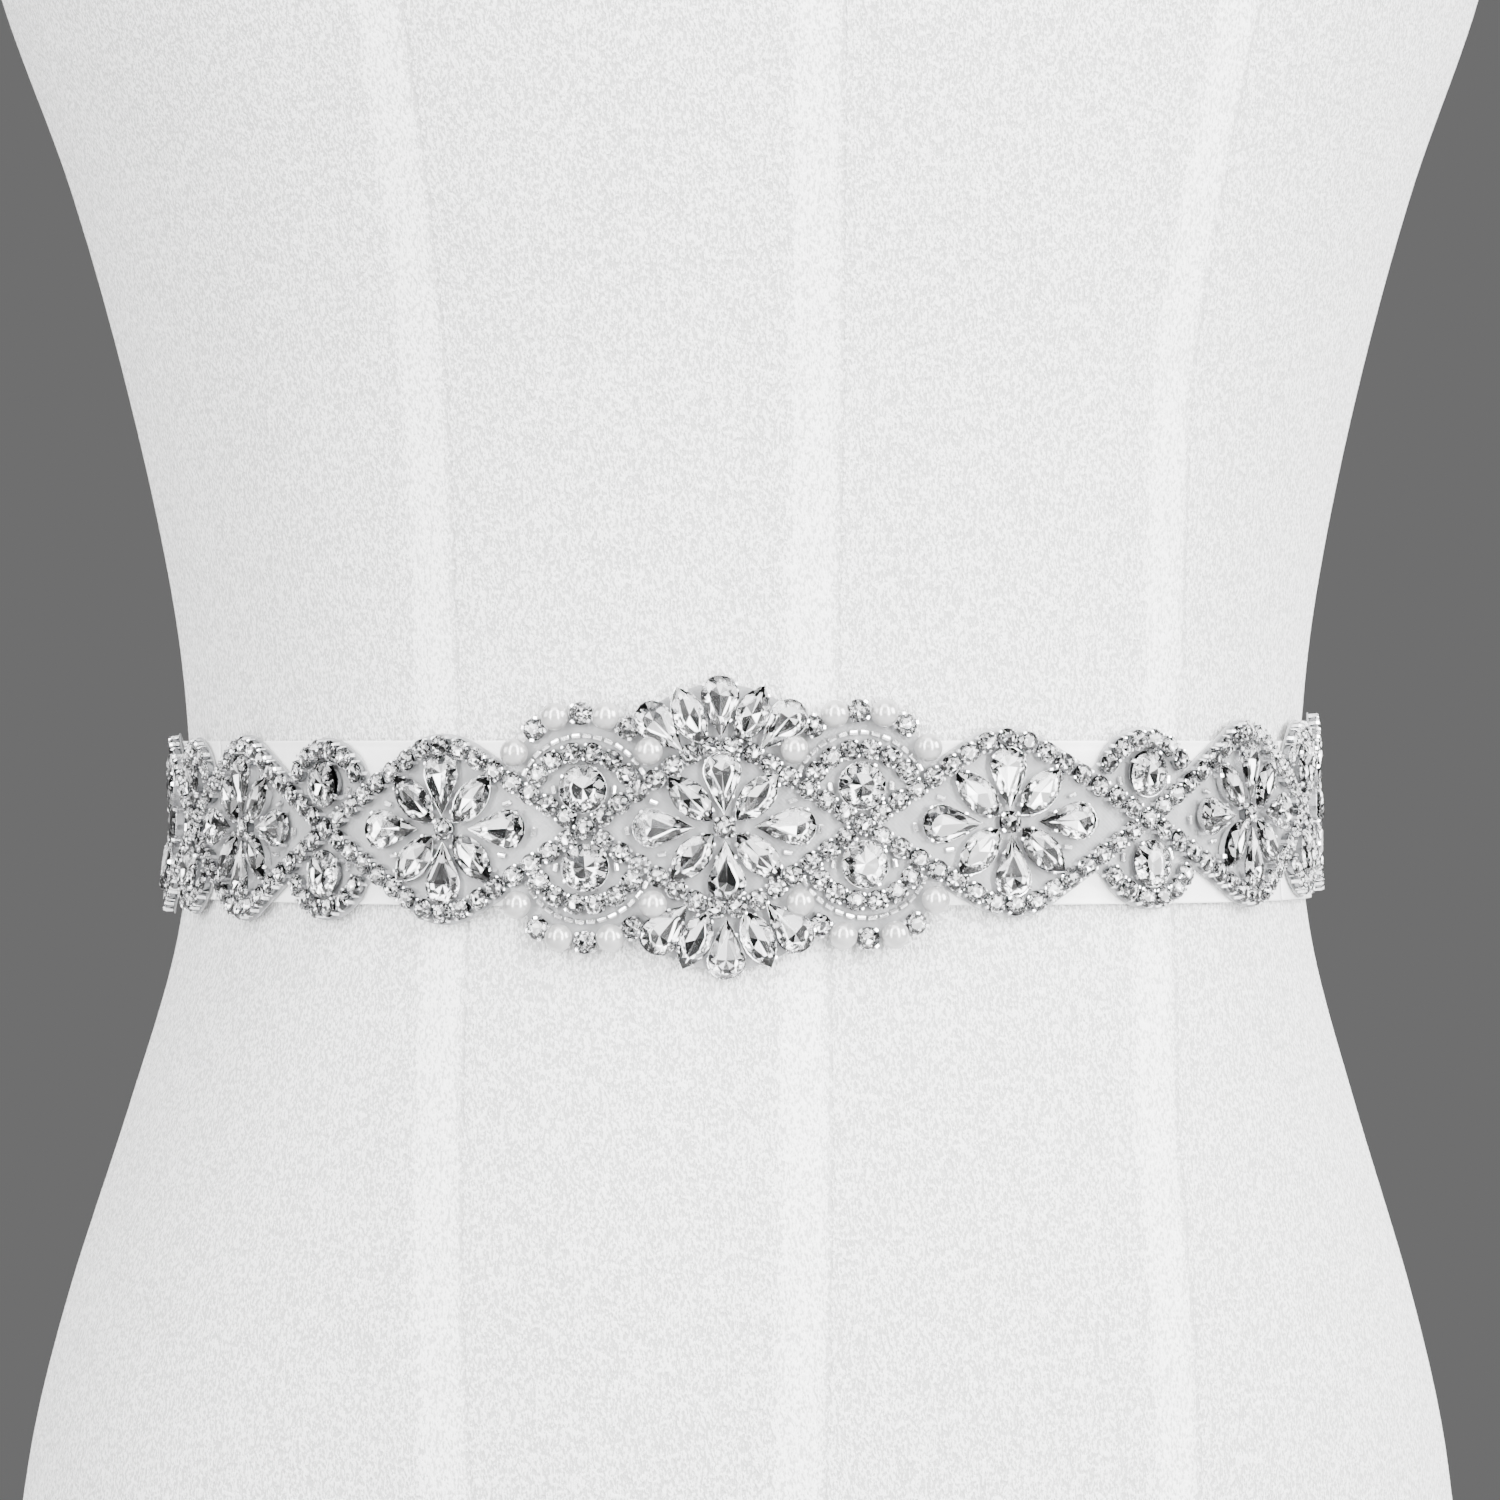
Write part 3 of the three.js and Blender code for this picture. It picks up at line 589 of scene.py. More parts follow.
def make_foil():
    material, tree, shader, _ = start_material("mirror_foil", Metallic=1.0, Roughness=0.06)
    # Painted reflection: each facet's foil colour, dark to bright, stands for the dark room and the lamps
    # that it would reflect
    tone = node(tree, "ShaderNodeAttribute", attribute_name="facet_tone").outputs["Fac"]
    paint(tree, shader, tone, (0.08, 0.082, 0.085), (0.98, 0.98, 0.985))
    return material


def make_silver():
    material, tree, shader, place = start_material("bright_silver_plate", Metallic=1.0, Roughness=0.18)
    # Painted shade: the dark tones on cups and link bars stand for shade between the stones; the claws stay
    # bright
    tone = node(tree, "ShaderNodeAttribute", attribute_name="facet_tone").outputs["Fac"]
    paint(tree, shader, tone, (0.16, 0.165, 0.17), (0.92, 0.92, 0.93))
    rub = mottle(tree, place.outputs["Object"], 600.0, 0.1, 0.3)
    tree.links.new(rub, shader.inputs["Roughness"])
    dent = mottle(tree, place.outputs["Object"], 1500.0)
    emboss(tree, shader, dent, 0.00002)
    return material


def make_pearl():
    material, tree, shader, place = start_material(
        "white_pearl", Roughness=0.32, Metallic=0.5, IOR=1.5, Coat_Weight=1.0, Coat_Roughness=0.15,
        Coat_IOR=2.0)
    bloom = mottle(tree, place.outputs["Object"], 260.0)
    paint(tree, shader, bloom, (0.33, 0.327, 0.323), (0.42, 0.416, 0.412))
    skin = mottle(tree, place.outputs["Object"], 900.0)
    emboss(tree, shader, skin, 0.00001)
    return material


def make_bugle():
    material, tree, shader, place = start_material(
        "silver_lined_bead", Metallic=0.9, Roughness=0.2, Coat_Weight=0.8, Coat_Roughness=0.03)
    streak = mottle(tree, place.outputs["Object"], 1300.0)
    paint(tree, shader, streak, (0.7, 0.7, 0.71), (0.98, 0.98, 0.98))
    return material


def make_floor():
    material, tree, shader, place = start_material("pale_floor", Roughness=0.6)
    tone = mottle(tree, place.outputs["Object"], 4.0)
    paint(tree, shader, tone, (0.5, 0.5, 0.5), (0.54, 0.54, 0.54))
    return material


FORM_FABRIC = make_form_fabric()
FORM_BOARD = make_form_board()
SATIN = make_satin()
NET = make_net()
GLASS = make_glass()
FOIL = make_foil()
SILVER = make_silver()
PEARL = make_pearl()
BUGLE = make_bugle()


# The dress form

def seam_turns(name, z):
    """Where a seam runs round the form, as a turn, at each height."""
    if name == "centre_back":
        return math.pi
    if name in SEAM_COLUMNS:
        heights, turns = ([row[i] for row in SEAM_ROUTES] for i in (0, SEAM_COLUMNS.index(name)))
        return np.interp(z, heights, turns)
    return (-1 if name == "side_left" else 1) * (math.pi / 2 + 0.05)


def build_form():
    columns, rows = 240, 200
    heights = np.linspace(BASE_THICKNESS + PIECE_GAP, NECK_TOP, rows)
    even = np.interp(np.linspace(0, WAIST, columns, endpoint=False), LENGTHS, TURNS)
    grid_t, grid_z = np.meshgrid(even, heights, indexing="ij")
    points = over_form(grid_t, grid_z, 0.0)
    faces = grid_faces(columns, rows, loop=True)
    faces.append(tuple(i * rows for i in range(columns))[::-1])
    faces.append(tuple(i * rows + rows - 1 for i in range(columns)))
    cover = add_object("form_cover", points, faces, [FORM_FABRIC])
    face_out(cover)
    steps = np.linalg.norm(np.diff(points, axis=0, append=points[:1]), axis=2)
    arcs = np.vstack([np.zeros(rows), np.cumsum(steps, axis=0)])
    for name in SEAM_NAMES:
        away = np.empty_like(grid_z)
        for j, z in enumerate(heights):
            at = np.interp(seam_turns(name, z), np.append(even, math.pi), arcs[:, j])
            whole = arcs[-1, j]
            away[:, j] = (arcs[:-1, j] - at + whole / 2) % whole - whole / 2
        layer = cover.data.attributes.new(name, "FLOAT", "POINT")
        layer.data.foreach_set("value", away.ravel())
    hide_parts("form_torso")
    for name, z, edge, stands_for in (
        ("form_board", 0, BASE_EDGE, "form_base_board"),
        ("neck_board", NECK_TOP + PIECE_GAP, CAP_EDGE, "form_neck_cap"),
    ):
        rings = []
        for up, out in edge:
            ring = over_form(even, min(z + up, NECK_TOP), out)
            ring[:, 2] = z + up
            rings.append(ring)
        points = np.stack(rings, axis=1)
        count = len(edge)
        faces = grid_faces(columns, count, loop=True)
        faces.append(tuple(i * count for i in range(columns))[::-1])
        faces.append(tuple(i * count + count - 1 for i in range(columns)))
        board = add_object(name, points, faces, [FORM_BOARD])
        face_out(board)
        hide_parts(stands_for)


# The ribbon and its tie

def ribbon_point(u, row, out):
    near = 1 - smooth(KNOT_AT - KNOT_HALF - np.abs(u), 0, GATHER_LENGTH)
    v = row * RIBBON_WIDTH * (1 - near * (1 - GATHER_NARROW)) / 2
    fold = GATHER_FOLD * near * (1 + np.cos(row * math.pi * 4)) / 2
    selvage = 0.08 * smooth(np.abs(row), 0.93, 0.97) - 0.05 * smooth(np.abs(row), 0.86, 0.93)
    ripple = 0.1 * np.sin(u / 23 + row * 1.3) * (1 - row**2)
    return on_sash(u, v, RIBBON_UNDER + fold + out + selvage + ripple)


def build_ribbon():
    ribbon_end = KNOT_AT - KNOT_HALF - PIECE_GAP
    stretches = (
        ("satin_front", "ribbon_front", -SIDE_SEAM, SIDE_SEAM),
        ("satin_right", "ribbon_right", SIDE_SEAM + 0.02, ribbon_end),
        ("satin_left", "ribbon_left", -ribbon_end, -SIDE_SEAM - 0.02),
    )
    for name, stands_for, start, end in stretches:
        across = np.linspace(start, end, int(abs(end - start) / 1.6))
        edge = np.linspace(0.86, 1, 8)
        along = np.concatenate([-edge[::-1], np.linspace(-0.84, 0.84, 32), edge])
        satin = cloth_wall(name, across, along, ribbon_point, RIBBON_THICK, SATIN)
        scale_uv(satin, lambda u, row: (u, row * RIBBON_WIDTH / 2))
        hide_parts(stands_for)


def build_tails():
    for name, stands_for, side in (
        ("satin_tail_right", "ribbon_tail_right", -1),
        ("satin_tail_left", "ribbon_tail_left", 1),
    ):
        def point(row, share, out, side=side):
            drop = share * (TAIL_LENGTH + side * row * TAIL_SLANT)
            open_up = smooth(drop, 0, TAIL_OPENING)
            middle = TAIL_MIDDLE[0] + TAIL_MIDDLE[1] * open_up + TAIL_SPLAY * (drop / TAIL_LENGTH) ** 1.6
            half = TAIL_GATHERED + (TAIL_OPENED - TAIL_GATHERED) * open_up
            wave = (1 + np.cos(row * math.pi * TAIL_FOLDS + share * 2)) / 2
            fold = (4 - 1.9 * open_up) * wave
            crease = 0.45 * np.sin(row * 9 + share * 6) * (1 - open_up * 0.6)
            u = middle + row * half
            z = SASH_HEIGHT - KNOT_HIGH - PIECE_GAP - drop
            return over_back(KNOT_ACROSS - side * u, z, TAIL_CLEARANCE + fold + crease + out)

        tail = cloth_wall(name, np.linspace(-1, 1, 48), np.linspace(0, 1, 110), point, RIBBON_THICK, SATIN)
        scale_uv(tail, lambda row, share: (row * RIBBON_WIDTH / 2, share * TAIL_LENGTH))
        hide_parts(stands_for)


def build_knot():
    sides, rings = 72, 48
    angle = np.linspace(0, 2 * math.pi, sides, endpoint=False)
    x = np.linspace(-1, 1, rings)
    grid_x, grid_a = np.meshgrid(x, angle, indexing="ij")
    full = np.sqrt(np.maximum(1 - 0.55 * grid_x**2, 0))
    v = KNOT_HIGH * full * np.cos(grid_a)
    front = np.clip(np.sin(grid_a), 0, 1)
    pleat = 0.8 * np.sin(grid_x * 9 + 1.4 * np.cos(grid_a)) * front
    w = 0.4 + KNOT_DEPTH / 2 * (1 + full * np.sin(grid_a)) + pleat - 0.8 * front
    points = on_sash(KNOT_AT + grid_x * KNOT_HALF, v, w)
    knot = add_object("satin_knot", points, ring_faces(rings, sides), [SATIN])
    uv = np.stack([grid_x.ravel() * KNOT_HALF, grid_a.ravel() * KNOT_HIGH], axis=1)
    add_uv(knot, uv * MM)
    face_out(knot)
    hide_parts("ribbon_knot")


# The applique's plan: chain paths and places for every stone and bead

def half_lozenge(apex, reach):
    centre = apex - APEX_RADIUS
    slope = math.atan2(centre, reach) + math.asin(APEX_RADIUS / math.hypot(reach, centre))
    turn = np.linspace(0, slope, 24)
    arc = np.stack([APEX_RADIUS * np.sin(turn), centre + APEX_RADIUS * np.cos(turn)], axis=1)
    return np.vstack([arc, [reach, 0]])


def along_path(path, shares):
    """Points at shares of a path's length, and which way it runs there in degrees."""
    steps = np.concatenate([[0], np.cumsum(np.linalg.norm(np.diff(path, axis=0), axis=1))])
    at = np.asarray(shares) * steps[-1]
    points = np.stack([np.interp(at, steps, path[:, k]) for k in range(2)], axis=1)
    ahead = np.stack([np.interp(at + 0.5, steps, path[:, k]) for k in range(2)], axis=1)
    behind = np.stack([np.interp(at - 0.5, steps, path[:, k]) for k in range(2)], axis=1)
    way = ahead - behind
    return points, np.degrees(np.arctan2(way[:, 1], way[:, 0]))


def on_arc(centre, radius, degrees):
    """A place on an arc round a centre above the middle line."""
    return radius * math.cos(math.radians(degrees)), centre + radius * math.sin(math.radians(degrees))


def plan_applique():
    """Lists of (u, v, degrees) for each kind of piece."""
    plan = {name: [] for name in ("petal", "navette", "round", "claw", "pearl", "chain", "bugle")}
    both = [(kind, at * side, apex) for kind, at, apex in MOTIFS for side in ((1, -1) if at else (1,))]
    for kind, u, apex in both:
        if apex:
            plan["claw"].append((u, 0, 45))
            for name, x, v, degrees in FLOWER_PETALS:
                plan[name].append((u + x, v, degrees))
            for x, v, degrees in FLOWER_BUGLES:
                plan["bugle"].append((u + x, v, degrees))
                plan["bugle"].append((u - x, v, 180 - degrees))
        for up in (1, -1):
            if kind == "medallion":
                for name, x, v, degrees in CROWN_STONES:
                    plan[name].append((u + x, v * up, degrees * up))
            if kind in LINKS:
                stone, centre, radius = LINKS[kind]
                plan["round"].append((u, stone * up, 12 * up))
                for i in range(EYE_STONES):
                    angle = 90 + (i - (EYE_STONES - 1) / 2) * EYE_STEP
                    x, v = on_arc(centre, radius, angle)
                    plan["chain"].append((u + x, v * up, (angle - 90) * up))
                for x, v, degrees in LINK_BUGLES:
                    plan["bugle"].append((u + x, v * up, degrees * up))
            if kind == "pearl_link":
                for name, angles in (("pearl", PEARL_ANGLES), ("claw", CLAW_ANGLES)):
                    for angle in angles:
                        x, v = on_arc(*PEARL_ARC, angle)
                        plan[name].append((u + x, v * up, (angle - 45) * up))
                centre, radius = BEAD_ARC
                span = radius * math.radians(BEAD_ARC_SPAN[1] - BEAD_ARC_SPAN[0])
                count = int(span / (BUGLE_SIZE[0] + BEAD_GAP))
                for i in range(count):
                    angle = np.interp((i + 0.5) / count, (0, 1), BEAD_ARC_SPAN)
                    x, v = on_arc(centre, radius, angle)
                    plan["bugle"].append((u + x, v * up, (angle - 90) * up))
    seen = set()
    for i, (_, at, apex) in enumerate(MOTIFS):
        if not apex:
            continue
        for j in (i - 1, i + 1):
            if j < 0:
                continue
            way = 1 if j > i else -1
            path = half_lozenge(apex, abs(MOTIFS[j][1] - at))
            length = np.linalg.norm(np.diff(path, axis=0), axis=1).sum()
            count = round(length / CHAIN_PITCH)
            shares = np.linspace(0, 1, count + 1)
            if not at:
                shares = (np.arange(count + 1) + 0.5) / (count + 0.5)
            points, degrees = along_path(path, shares)
            for side in (1, -1):
                for up in (1, -1):
                    for (x, v), angle in zip(points, degrees):
                        u = side * (at + way * x)
                        key = (round(u, 1), round(v * up, 1))
                        if key not in seen:
                            seen.add(key)
                            plan["chain"].append((u, v * up, angle * up * side * way))
    return plan


# Stones, settings, pearls and beads, each made once and then settled on the net

def petal_outline(count=16):
    length, width = PETAL_SIZE
    radius = width / 2
    tangent = math.pi - math.acos(radius / (length - radius))
    head = np.linspace(-tangent, tangent, count - 3)
    round_head = [(length - radius + radius * math.cos(a), radius * math.sin(a)) for a in head]
    side = np.array(round_head[0]) * (0.5, 0.56)
    return np.array([(0, 0), side, *round_head, side * (1, -1)])


def navette_outline(count=16):
    length, width = NAVETTE_SIZE
    x = np.linspace(0, 1, count // 2 + 1)
    low = np.stack([x * length, -(width / 2) * (1 - np.abs(2 * x - 1) ** NAVETTE_FULLNESS)], axis=1)
    return np.vstack([low, low[-2:0:-1] * (1, -1)])


def round_outline(radius, count=16):
    angle = np.linspace(0, 2 * math.pi, count, endpoint=False)
    return np.stack([radius * np.cos(angle), radius * np.sin(angle)], axis=1)


class Template:
    """A small piece in millimetres, with a material number and a tone of painted light for each face:
    painted reflection on stone backings, painted shade on dark cups and link bars.
    """

    def __init__(self):
        self.points, self.faces, self.finishes, self.painted_tones = [], [], [], []

    def add(self, points, faces, finish, painted_tones=None):
        base = len(self.points)
        self.points.extend(tuple(p) for p in points)
        self.faces.extend(tuple(base + i for i in face) for face in faces)
        self.finishes.extend([finish] * len(faces))
        self.painted_tones.extend(painted_tones if painted_tones is not None else [1.0] * len(faces))

    def to_object(self, name):
        piece = add_object(name, self.points, self.faces, [], body=None, smooth_shaded=False)
        piece.data.attributes.new("is_backing", "FLOAT", "FACE").data.foreach_set("value", self.finishes)
        piece.data.attributes.new("facet_tone", "FLOAT", "FACE").data.foreach_set("value", self.painted_tones)
        return piece


def ring_points(outline, middle, scale, z):
    flat = middle + (outline - middle) * scale
    return np.column_stack([flat, np.full(len(flat), z)])


def inset(outline, distance, z):
    """An outline moved inwards by the same distance all round, at one height."""
    way = np.roll(outline, -1, axis=0) - outline
    after = np.column_stack([-way[:, 1], way[:, 0]]) / np.linalg.norm(way, axis=1)[:, None]
    before = np.roll(after, 1, axis=0)
    mitre = (before + after) / (1 + (before * after).sum(axis=1, keepdims=True))
    return np.column_stack([outline + distance * mitre, np.full(len(outline), z)])


def cut_stone(template, outline, keel, girdle, rise, depth, table):
    """A faceted stone: a glass crown over a mirror-backed underside, deepest at its keel."""
    count = len(outline)
    half = count // 2
    wide = (outline[:, 1].max() - outline[:, 1].min()) / 2
    edge = inset(outline, 0, girdle)
    star = inset(outline, wide * (1 - table) * 0.42, girdle + rise * 0.6)[1::2]
    top = inset(outline, wide * (1 - table), girdle + rise)[0::2]
    points = np.vstack([edge, star, top])
    s, t = count, count + half
    crown = [tuple(t + i for i in range(half))]
    for i in range(half):
        after = (i + 1) % half
        before = (i - 1) % half
        crown.append((t + i, s + i, t + after))
        crown.append((t + i, s + before, 2 * i, s + i))
        crown.append((s + i, 2 * i, 2 * i + 1))
        crown.append((s + i, 2 * i + 1, (2 * i + 2) % count))
    template.add(points, crown, 0)
    deep = inset(outline, wide * 0.5, girdle - depth * 0.6)[1::2]
    points = np.vstack([edge, deep, [[keel, 0, girdle - depth]]])
    under = []
    for i in range(half):
        before = (i - 1) % half
        under.append((2 * i + 1, 2 * i, s + i))
        under.append(((2 * i + 2) % count, 2 * i + 1, s + i))
        under.append((2 * i, s + before, s + i))
        under.append((s + i, s + before, s + half))
    template.add(points, under, 1)


def prong(template, at, inward, top, width, foot=0.1):
    """A small claw that stands beside a stone and bends over its edge."""
    at, inward = np.array(at, float), np.array(inward, float) / np.linalg.norm(inward)
    side = np.array([-inward[1], inward[0]])
    profile = (
        (-0.28, foot), (-0.3, top * 0.75), (-0.12, top), (0.3, top + 0.05), (0.42, top - 0.3),
        (0.02, top * 0.62), (0.0, foot),
    )
    points = []
    for across in (-0.5, 0.5):
        for reach, z in profile:
            narrow = 0.7 if z > top * 0.9 else 1
            points.append((*(at + inward * reach * width * 1.1 + side * across * width * narrow), z))
    count = len(profile)
    faces = [tuple(range(count))[::-1], tuple(range(count, 2 * count))]
    faces += [(i, (i + 1) % count, count + (i + 1) % count, count + i) for i in range(count)]
    template.add(points, faces, 0)


def setting(outline, girdle, prongs, width, tone):
    """A silver cup under a stone, with claws at the given corners of its outline; its walls take the given
    tone, dark as painted shade between stones.
    """
    template = Template()
    middle = (outline.max(axis=0) + outline.min(axis=0)) / 2
    count = len(outline)
    levels = (
        (0.82, 0.02), (0.92, girdle * 0.5), (1.01, girdle - 0.15), (1.01, girdle),
        (0.985, girdle - 0.02), (0.95, girdle - 0.4), (0.4, girdle * 0.1),
    )
    points = np.vstack([ring_points(outline, middle, scale, z) for scale, z in levels])
    faces = ring_faces(len(levels), count)
    template.add(points, faces, 0, [tone] * len(faces))
    for index in prongs:
        corner = middle + (outline[index] - middle) * 1.03
        neighbours = outline[(index + 1) % count] - outline[index - 1]
        inward = np.array([-neighbours[1], neighbours[0]])
        prong(template, corner, inward, girdle + 0.62, width)
    return template


def bead_tube(length, radius, sides=8):
    template = Template()
    angle = np.linspace(0, 2 * math.pi, sides, endpoint=False)
    rings = ((-0.5, 0.35), (-0.5, 0.85), (-0.42, 1.0), (0.42, 1.0), (0.5, 0.85), (0.5, 0.35))
    points = [
        (x * length, radius * r * math.cos(a), radius * (1 + r * math.sin(a)))
        for x, r in rings
        for a in angle
    ]
    count = len(rings)
    faces = []
    for k in range(count):
        for i in range(sides):
            a, b = k * sides + i, k * sides + (i + 1) % sides
            c, d = ((k + 1) % count) * sides + (i + 1) % sides, ((k + 1) % count) * sides + i
            faces.append((a, d, c, b))
    template.add(points, faces, 0)
    return template


def pearl_ball(radius, rings=14, sides=24):
    template = Template()
    points = [(0, 0, 0)]
    for k in range(1, rings):
        polar = math.pi * k / rings
        z = radius * 0.98 * (1 - math.cos(polar))
        points += [(x, y, z) for x, y in round_outline(radius * math.sin(polar), sides)]
    points.append((0, 0, radius * 1.96))
    last = len(points) - 1
    faces = [(0, 1 + (i + 1) % sides, 1 + i) for i in range(sides)]
    faces += ring_faces(rings - 1, sides, first=1, capped=False)
    faces += [(last, last - sides + i, last - sides + (i + 1) % sides) for i in range(sides)]
    template.add(points, faces, 0)
    return template


def chain_link():
    """The metal bars that join a chain stone's cup to its neighbours, wide and dark as painted shade in the
    gaps between stones.
    """
    template = Template()
    for side in (1, -1):
        x0, x1 = side * (CHAIN_RADIUS - 0.3), side * (CHAIN_PITCH / 2 + 0.05)
        points = [(x, y, z) for x in (x0, x1) for y in (-0.8, 0.8) for z in (0.15, 0.9)]
        faces = [(0, 1, 3, 2), (4, 6, 7, 5), (0, 4, 5, 1), (2, 3, 7, 6), (1, 5, 7, 3), (0, 2, 6, 4)]
        if side > 0:
            faces = [face[::-1] for face in faces]
        template.add(points, faces, 0, [0.15] * len(faces))
    return template


def make_settle_tree():
    """Settles copies of a piece on a cloud of places, each turned by its place, and makes them real."""
    tree = bpy.data.node_groups.new("settle_on_net", "GeometryNodeTree")
    tree.interface.new_socket(name="Places", in_out="INPUT", socket_type="NodeSocketGeometry")
    for label, kind in (("Piece", "Object"), ("Size", "Float"), ("Rise", "Float"), ("Darkest", "Float"),
                        ("Brightest", "Float"), ("Finish", "Material"), ("Backing", "Material")):
        tree.interface.new_socket(name=label, in_out="INPUT", socket_type="NodeSocket" + kind)
    tree.interface.new_socket(name="Pieces", in_out="OUTPUT", socket_type="NodeSocketGeometry")
    start, end = tree.nodes.new("NodeGroupInput"), tree.nodes.new("NodeGroupOutput")
    aim = node(tree, "GeometryNodeInputNamedAttribute", {"Name": "aim"}, data_type="FLOAT_VECTOR")
    turn = node(tree, "FunctionNodeEulerToRotation", {0: aim.outputs[0]})
    up = node(tree, "GeometryNodeInputNamedAttribute", {"Name": "outward"}, data_type="FLOAT_VECTOR")
    lift = node(tree, "ShaderNodeVectorMath", {0: up.outputs[0], "Scale": start.outputs["Rise"]},
                operation="SCALE")
    raised = node(tree, "GeometryNodeSetPosition",
                  {"Geometry": start.outputs["Places"], "Offset": lift.outputs[0]})
    piece = node(tree, "GeometryNodeObjectInfo", {"Object": start.outputs["Piece"]})
    copies = node(tree, "GeometryNodeInstanceOnPoints",
                  {"Points": raised.outputs[0], "Instance": piece.outputs["Geometry"],
                   "Rotation": turn.outputs[0], "Scale": start.outputs["Size"]})
    real = node(tree, "GeometryNodeRealizeInstances", {"Geometry": copies.outputs[0]})
    back = node(tree, "GeometryNodeInputNamedAttribute", {"Name": "is_backing"}, data_type="FLOAT")
    is_back = node(tree, "FunctionNodeCompare", {0: back.outputs[0], 1: 0.5}, operation="GREATER_THAN",
                   data_type="FLOAT")
    # Painted reflection: each backing facet of a stone gets a random tone between Darkest and Brightest
    chance = node(tree, "FunctionNodeRandomValue",
                  {2: start.outputs["Darkest"], 3: start.outputs["Brightest"], "Seed": TONE_SEED},
                  data_type="FLOAT")
    tone = node(tree, "ShaderNodeMath", {0: chance.outputs[1], 1: 0.0}, operation="ADD", use_clamp=True)
    toned = node(tree, "GeometryNodeStoreNamedAttribute",
                 {"Geometry": real.outputs[0], "Selection": is_back.outputs[0], "Name": "facet_tone",
                  "Value": tone.outputs[0]}, domain="FACE", data_type="FLOAT")
    faced = node(tree, "GeometryNodeSetMaterial",
                 {"Geometry": toned.outputs[0], "Material": start.outputs["Finish"]})
    backed = node(tree, "GeometryNodeSetMaterial",
                  {"Geometry": faced.outputs[0], "Selection": is_back.outputs[0],
                   "Material": start.outputs["Backing"]})
    tree.links.new(backed.outputs[0], end.inputs["Pieces"])
    return tree


SETTLE = make_settle_tree()


def place_cloud(name, places, tilt):
    """Points on the net with the turn that each piece takes there."""
    places = np.array(places, float)
    u, v, degrees = places.T
    step = 0.4
    cos, sin = np.cos(np.radians(degrees)) * step, np.sin(np.radians(degrees)) * step
    spots = on_applique(u, v, NET_TOP)
    ahead = on_applique(u + cos, v + sin, NET_TOP) - on_applique(u - cos, v - sin, NET_TOP)
    aside = on_applique(u - sin, v + cos, NET_TOP) - on_applique(u + sin, v - cos, NET_TOP)
    cloud = add_object(name, spots, [], [], body=None)
    aims, outs = [], []
    for x_axis, y_axis in zip(ahead, aside):
        x_axis = Vector(x_axis).normalized()
        z_axis = x_axis.cross(Vector(y_axis)).normalized()
        turned = Matrix((x_axis, z_axis.cross(x_axis), z_axis)).transposed()
        lean_x, lean_y = (Matrix.Rotation(random_tilt.normal(0, tilt), 3, axis) for axis in "XY")
        aims.append((turned @ lean_x @ lean_y).to_euler())
        outs.append(z_axis)
    for label, values in (("aim", aims), ("outward", outs)):
        layer = cloud.data.attributes.new(label, "FLOAT_VECTOR", "POINT")
        layer.data.foreach_set("vector", np.array([tuple(value) for value in values]).ravel())
    return cloud


def settle(name, template, places, finish, backing=None, tilt=0.02, rise=0.0, painted_tones=(1.0, 1.0),
           smooth_shaded=False):
    """One joined mesh of a template's copies on the net."""
    cloud = place_cloud(name, places, tilt)
    pattern = template.to_object(name + "_pattern")
    modifier = cloud.modifiers.new("settle", "NODES")
    modifier.node_group = SETTLE
    sockets = {item.name: item.identifier for item in SETTLE.interface.items_tree if item.in_out == "INPUT"}
    for label, value in (("Piece", pattern), ("Size", 1.0), ("Rise", rise * MM), ("Darkest", painted_tones[0]),
                         ("Brightest", painted_tones[1]), ("Finish", finish), ("Backing", backing or finish)):
        modifier[sockets[label]] = value
    settled = bpy.data.meshes.new_from_object(cloud.evaluated_get(bpy.context.evaluated_depsgraph_get()))
    cloud.modifiers.remove(modifier)
    cloud.data = settled
    settled.name = name
    settled.polygons.foreach_set("use_smooth", [smooth_shaded] * len(settled.polygons))
    bpy.data.objects.remove(pattern)
    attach(cloud, "root")
    return cloud


# The net under the stones

def net_half(along):
    """Half the net's height: it follows the outermost stones with a small margin."""
    u = abs(along)
    chain_edge = CHAIN_RADIUS + NET_MARGIN
    heights = [chain_edge]
    for i, (kind, at, apex) in enumerate(MOTIFS):
        off = u - at
        for wanted, centre, radius, reach in (
            ("link", LINKS["link"][1], LINKS["link"][2] + chain_edge, LINKS["link"][2]),
            ("pearl_link", PEARL_ARC[0], PEARL_ARC[1] + NET_MARGIN, PEARL_ARC[1]),
            ("medallion", *CROWN_ARC),
        ):
            if kind == wanted and abs(off) < reach:
                heights.append(centre + math.sqrt(radius**2 - off**2))
        if apex:
            reach = abs(MOTIFS[i - 1 if off < 0 else i + 1][1] - at)
            path = half_lozenge(apex, reach)
            if abs(off) < reach:
                way = np.gradient(path, axis=0)
                outward = np.column_stack([-way[:, 1], way[:, 0]]) / np.hypot(*way.T)[:, None]
                beside = path + chain_edge * outward
                heights.append(float(np.interp(abs(off), beside[:, 0], beside[:, 1])))
    return max(heights)


def build_net():
    end = MOTIFS[-1][1] + CHAIN_RADIUS
    across = np.linspace(-end, end, 620)
    halves = np.array([net_half(u) for u in across])
    kernel = np.hanning(7)
    halves = np.convolve(np.pad(halves, 3, mode="edge"), kernel / kernel.sum(), mode="valid")

    def point(u, row, out):
        half = np.interp(u, across, halves)
        return on_applique(u, row * half, NET_UNDER + out)

    along = np.sin(np.linspace(-math.pi / 2, math.pi / 2, 40))
    net = cloth_wall("applique_net", across, along, point, NET_THICK, NET)
    scale_uv(net, lambda u, row: (u, row * np.interp(u / MM, across, halves)))
    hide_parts(*[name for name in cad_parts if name.startswith("applique")])


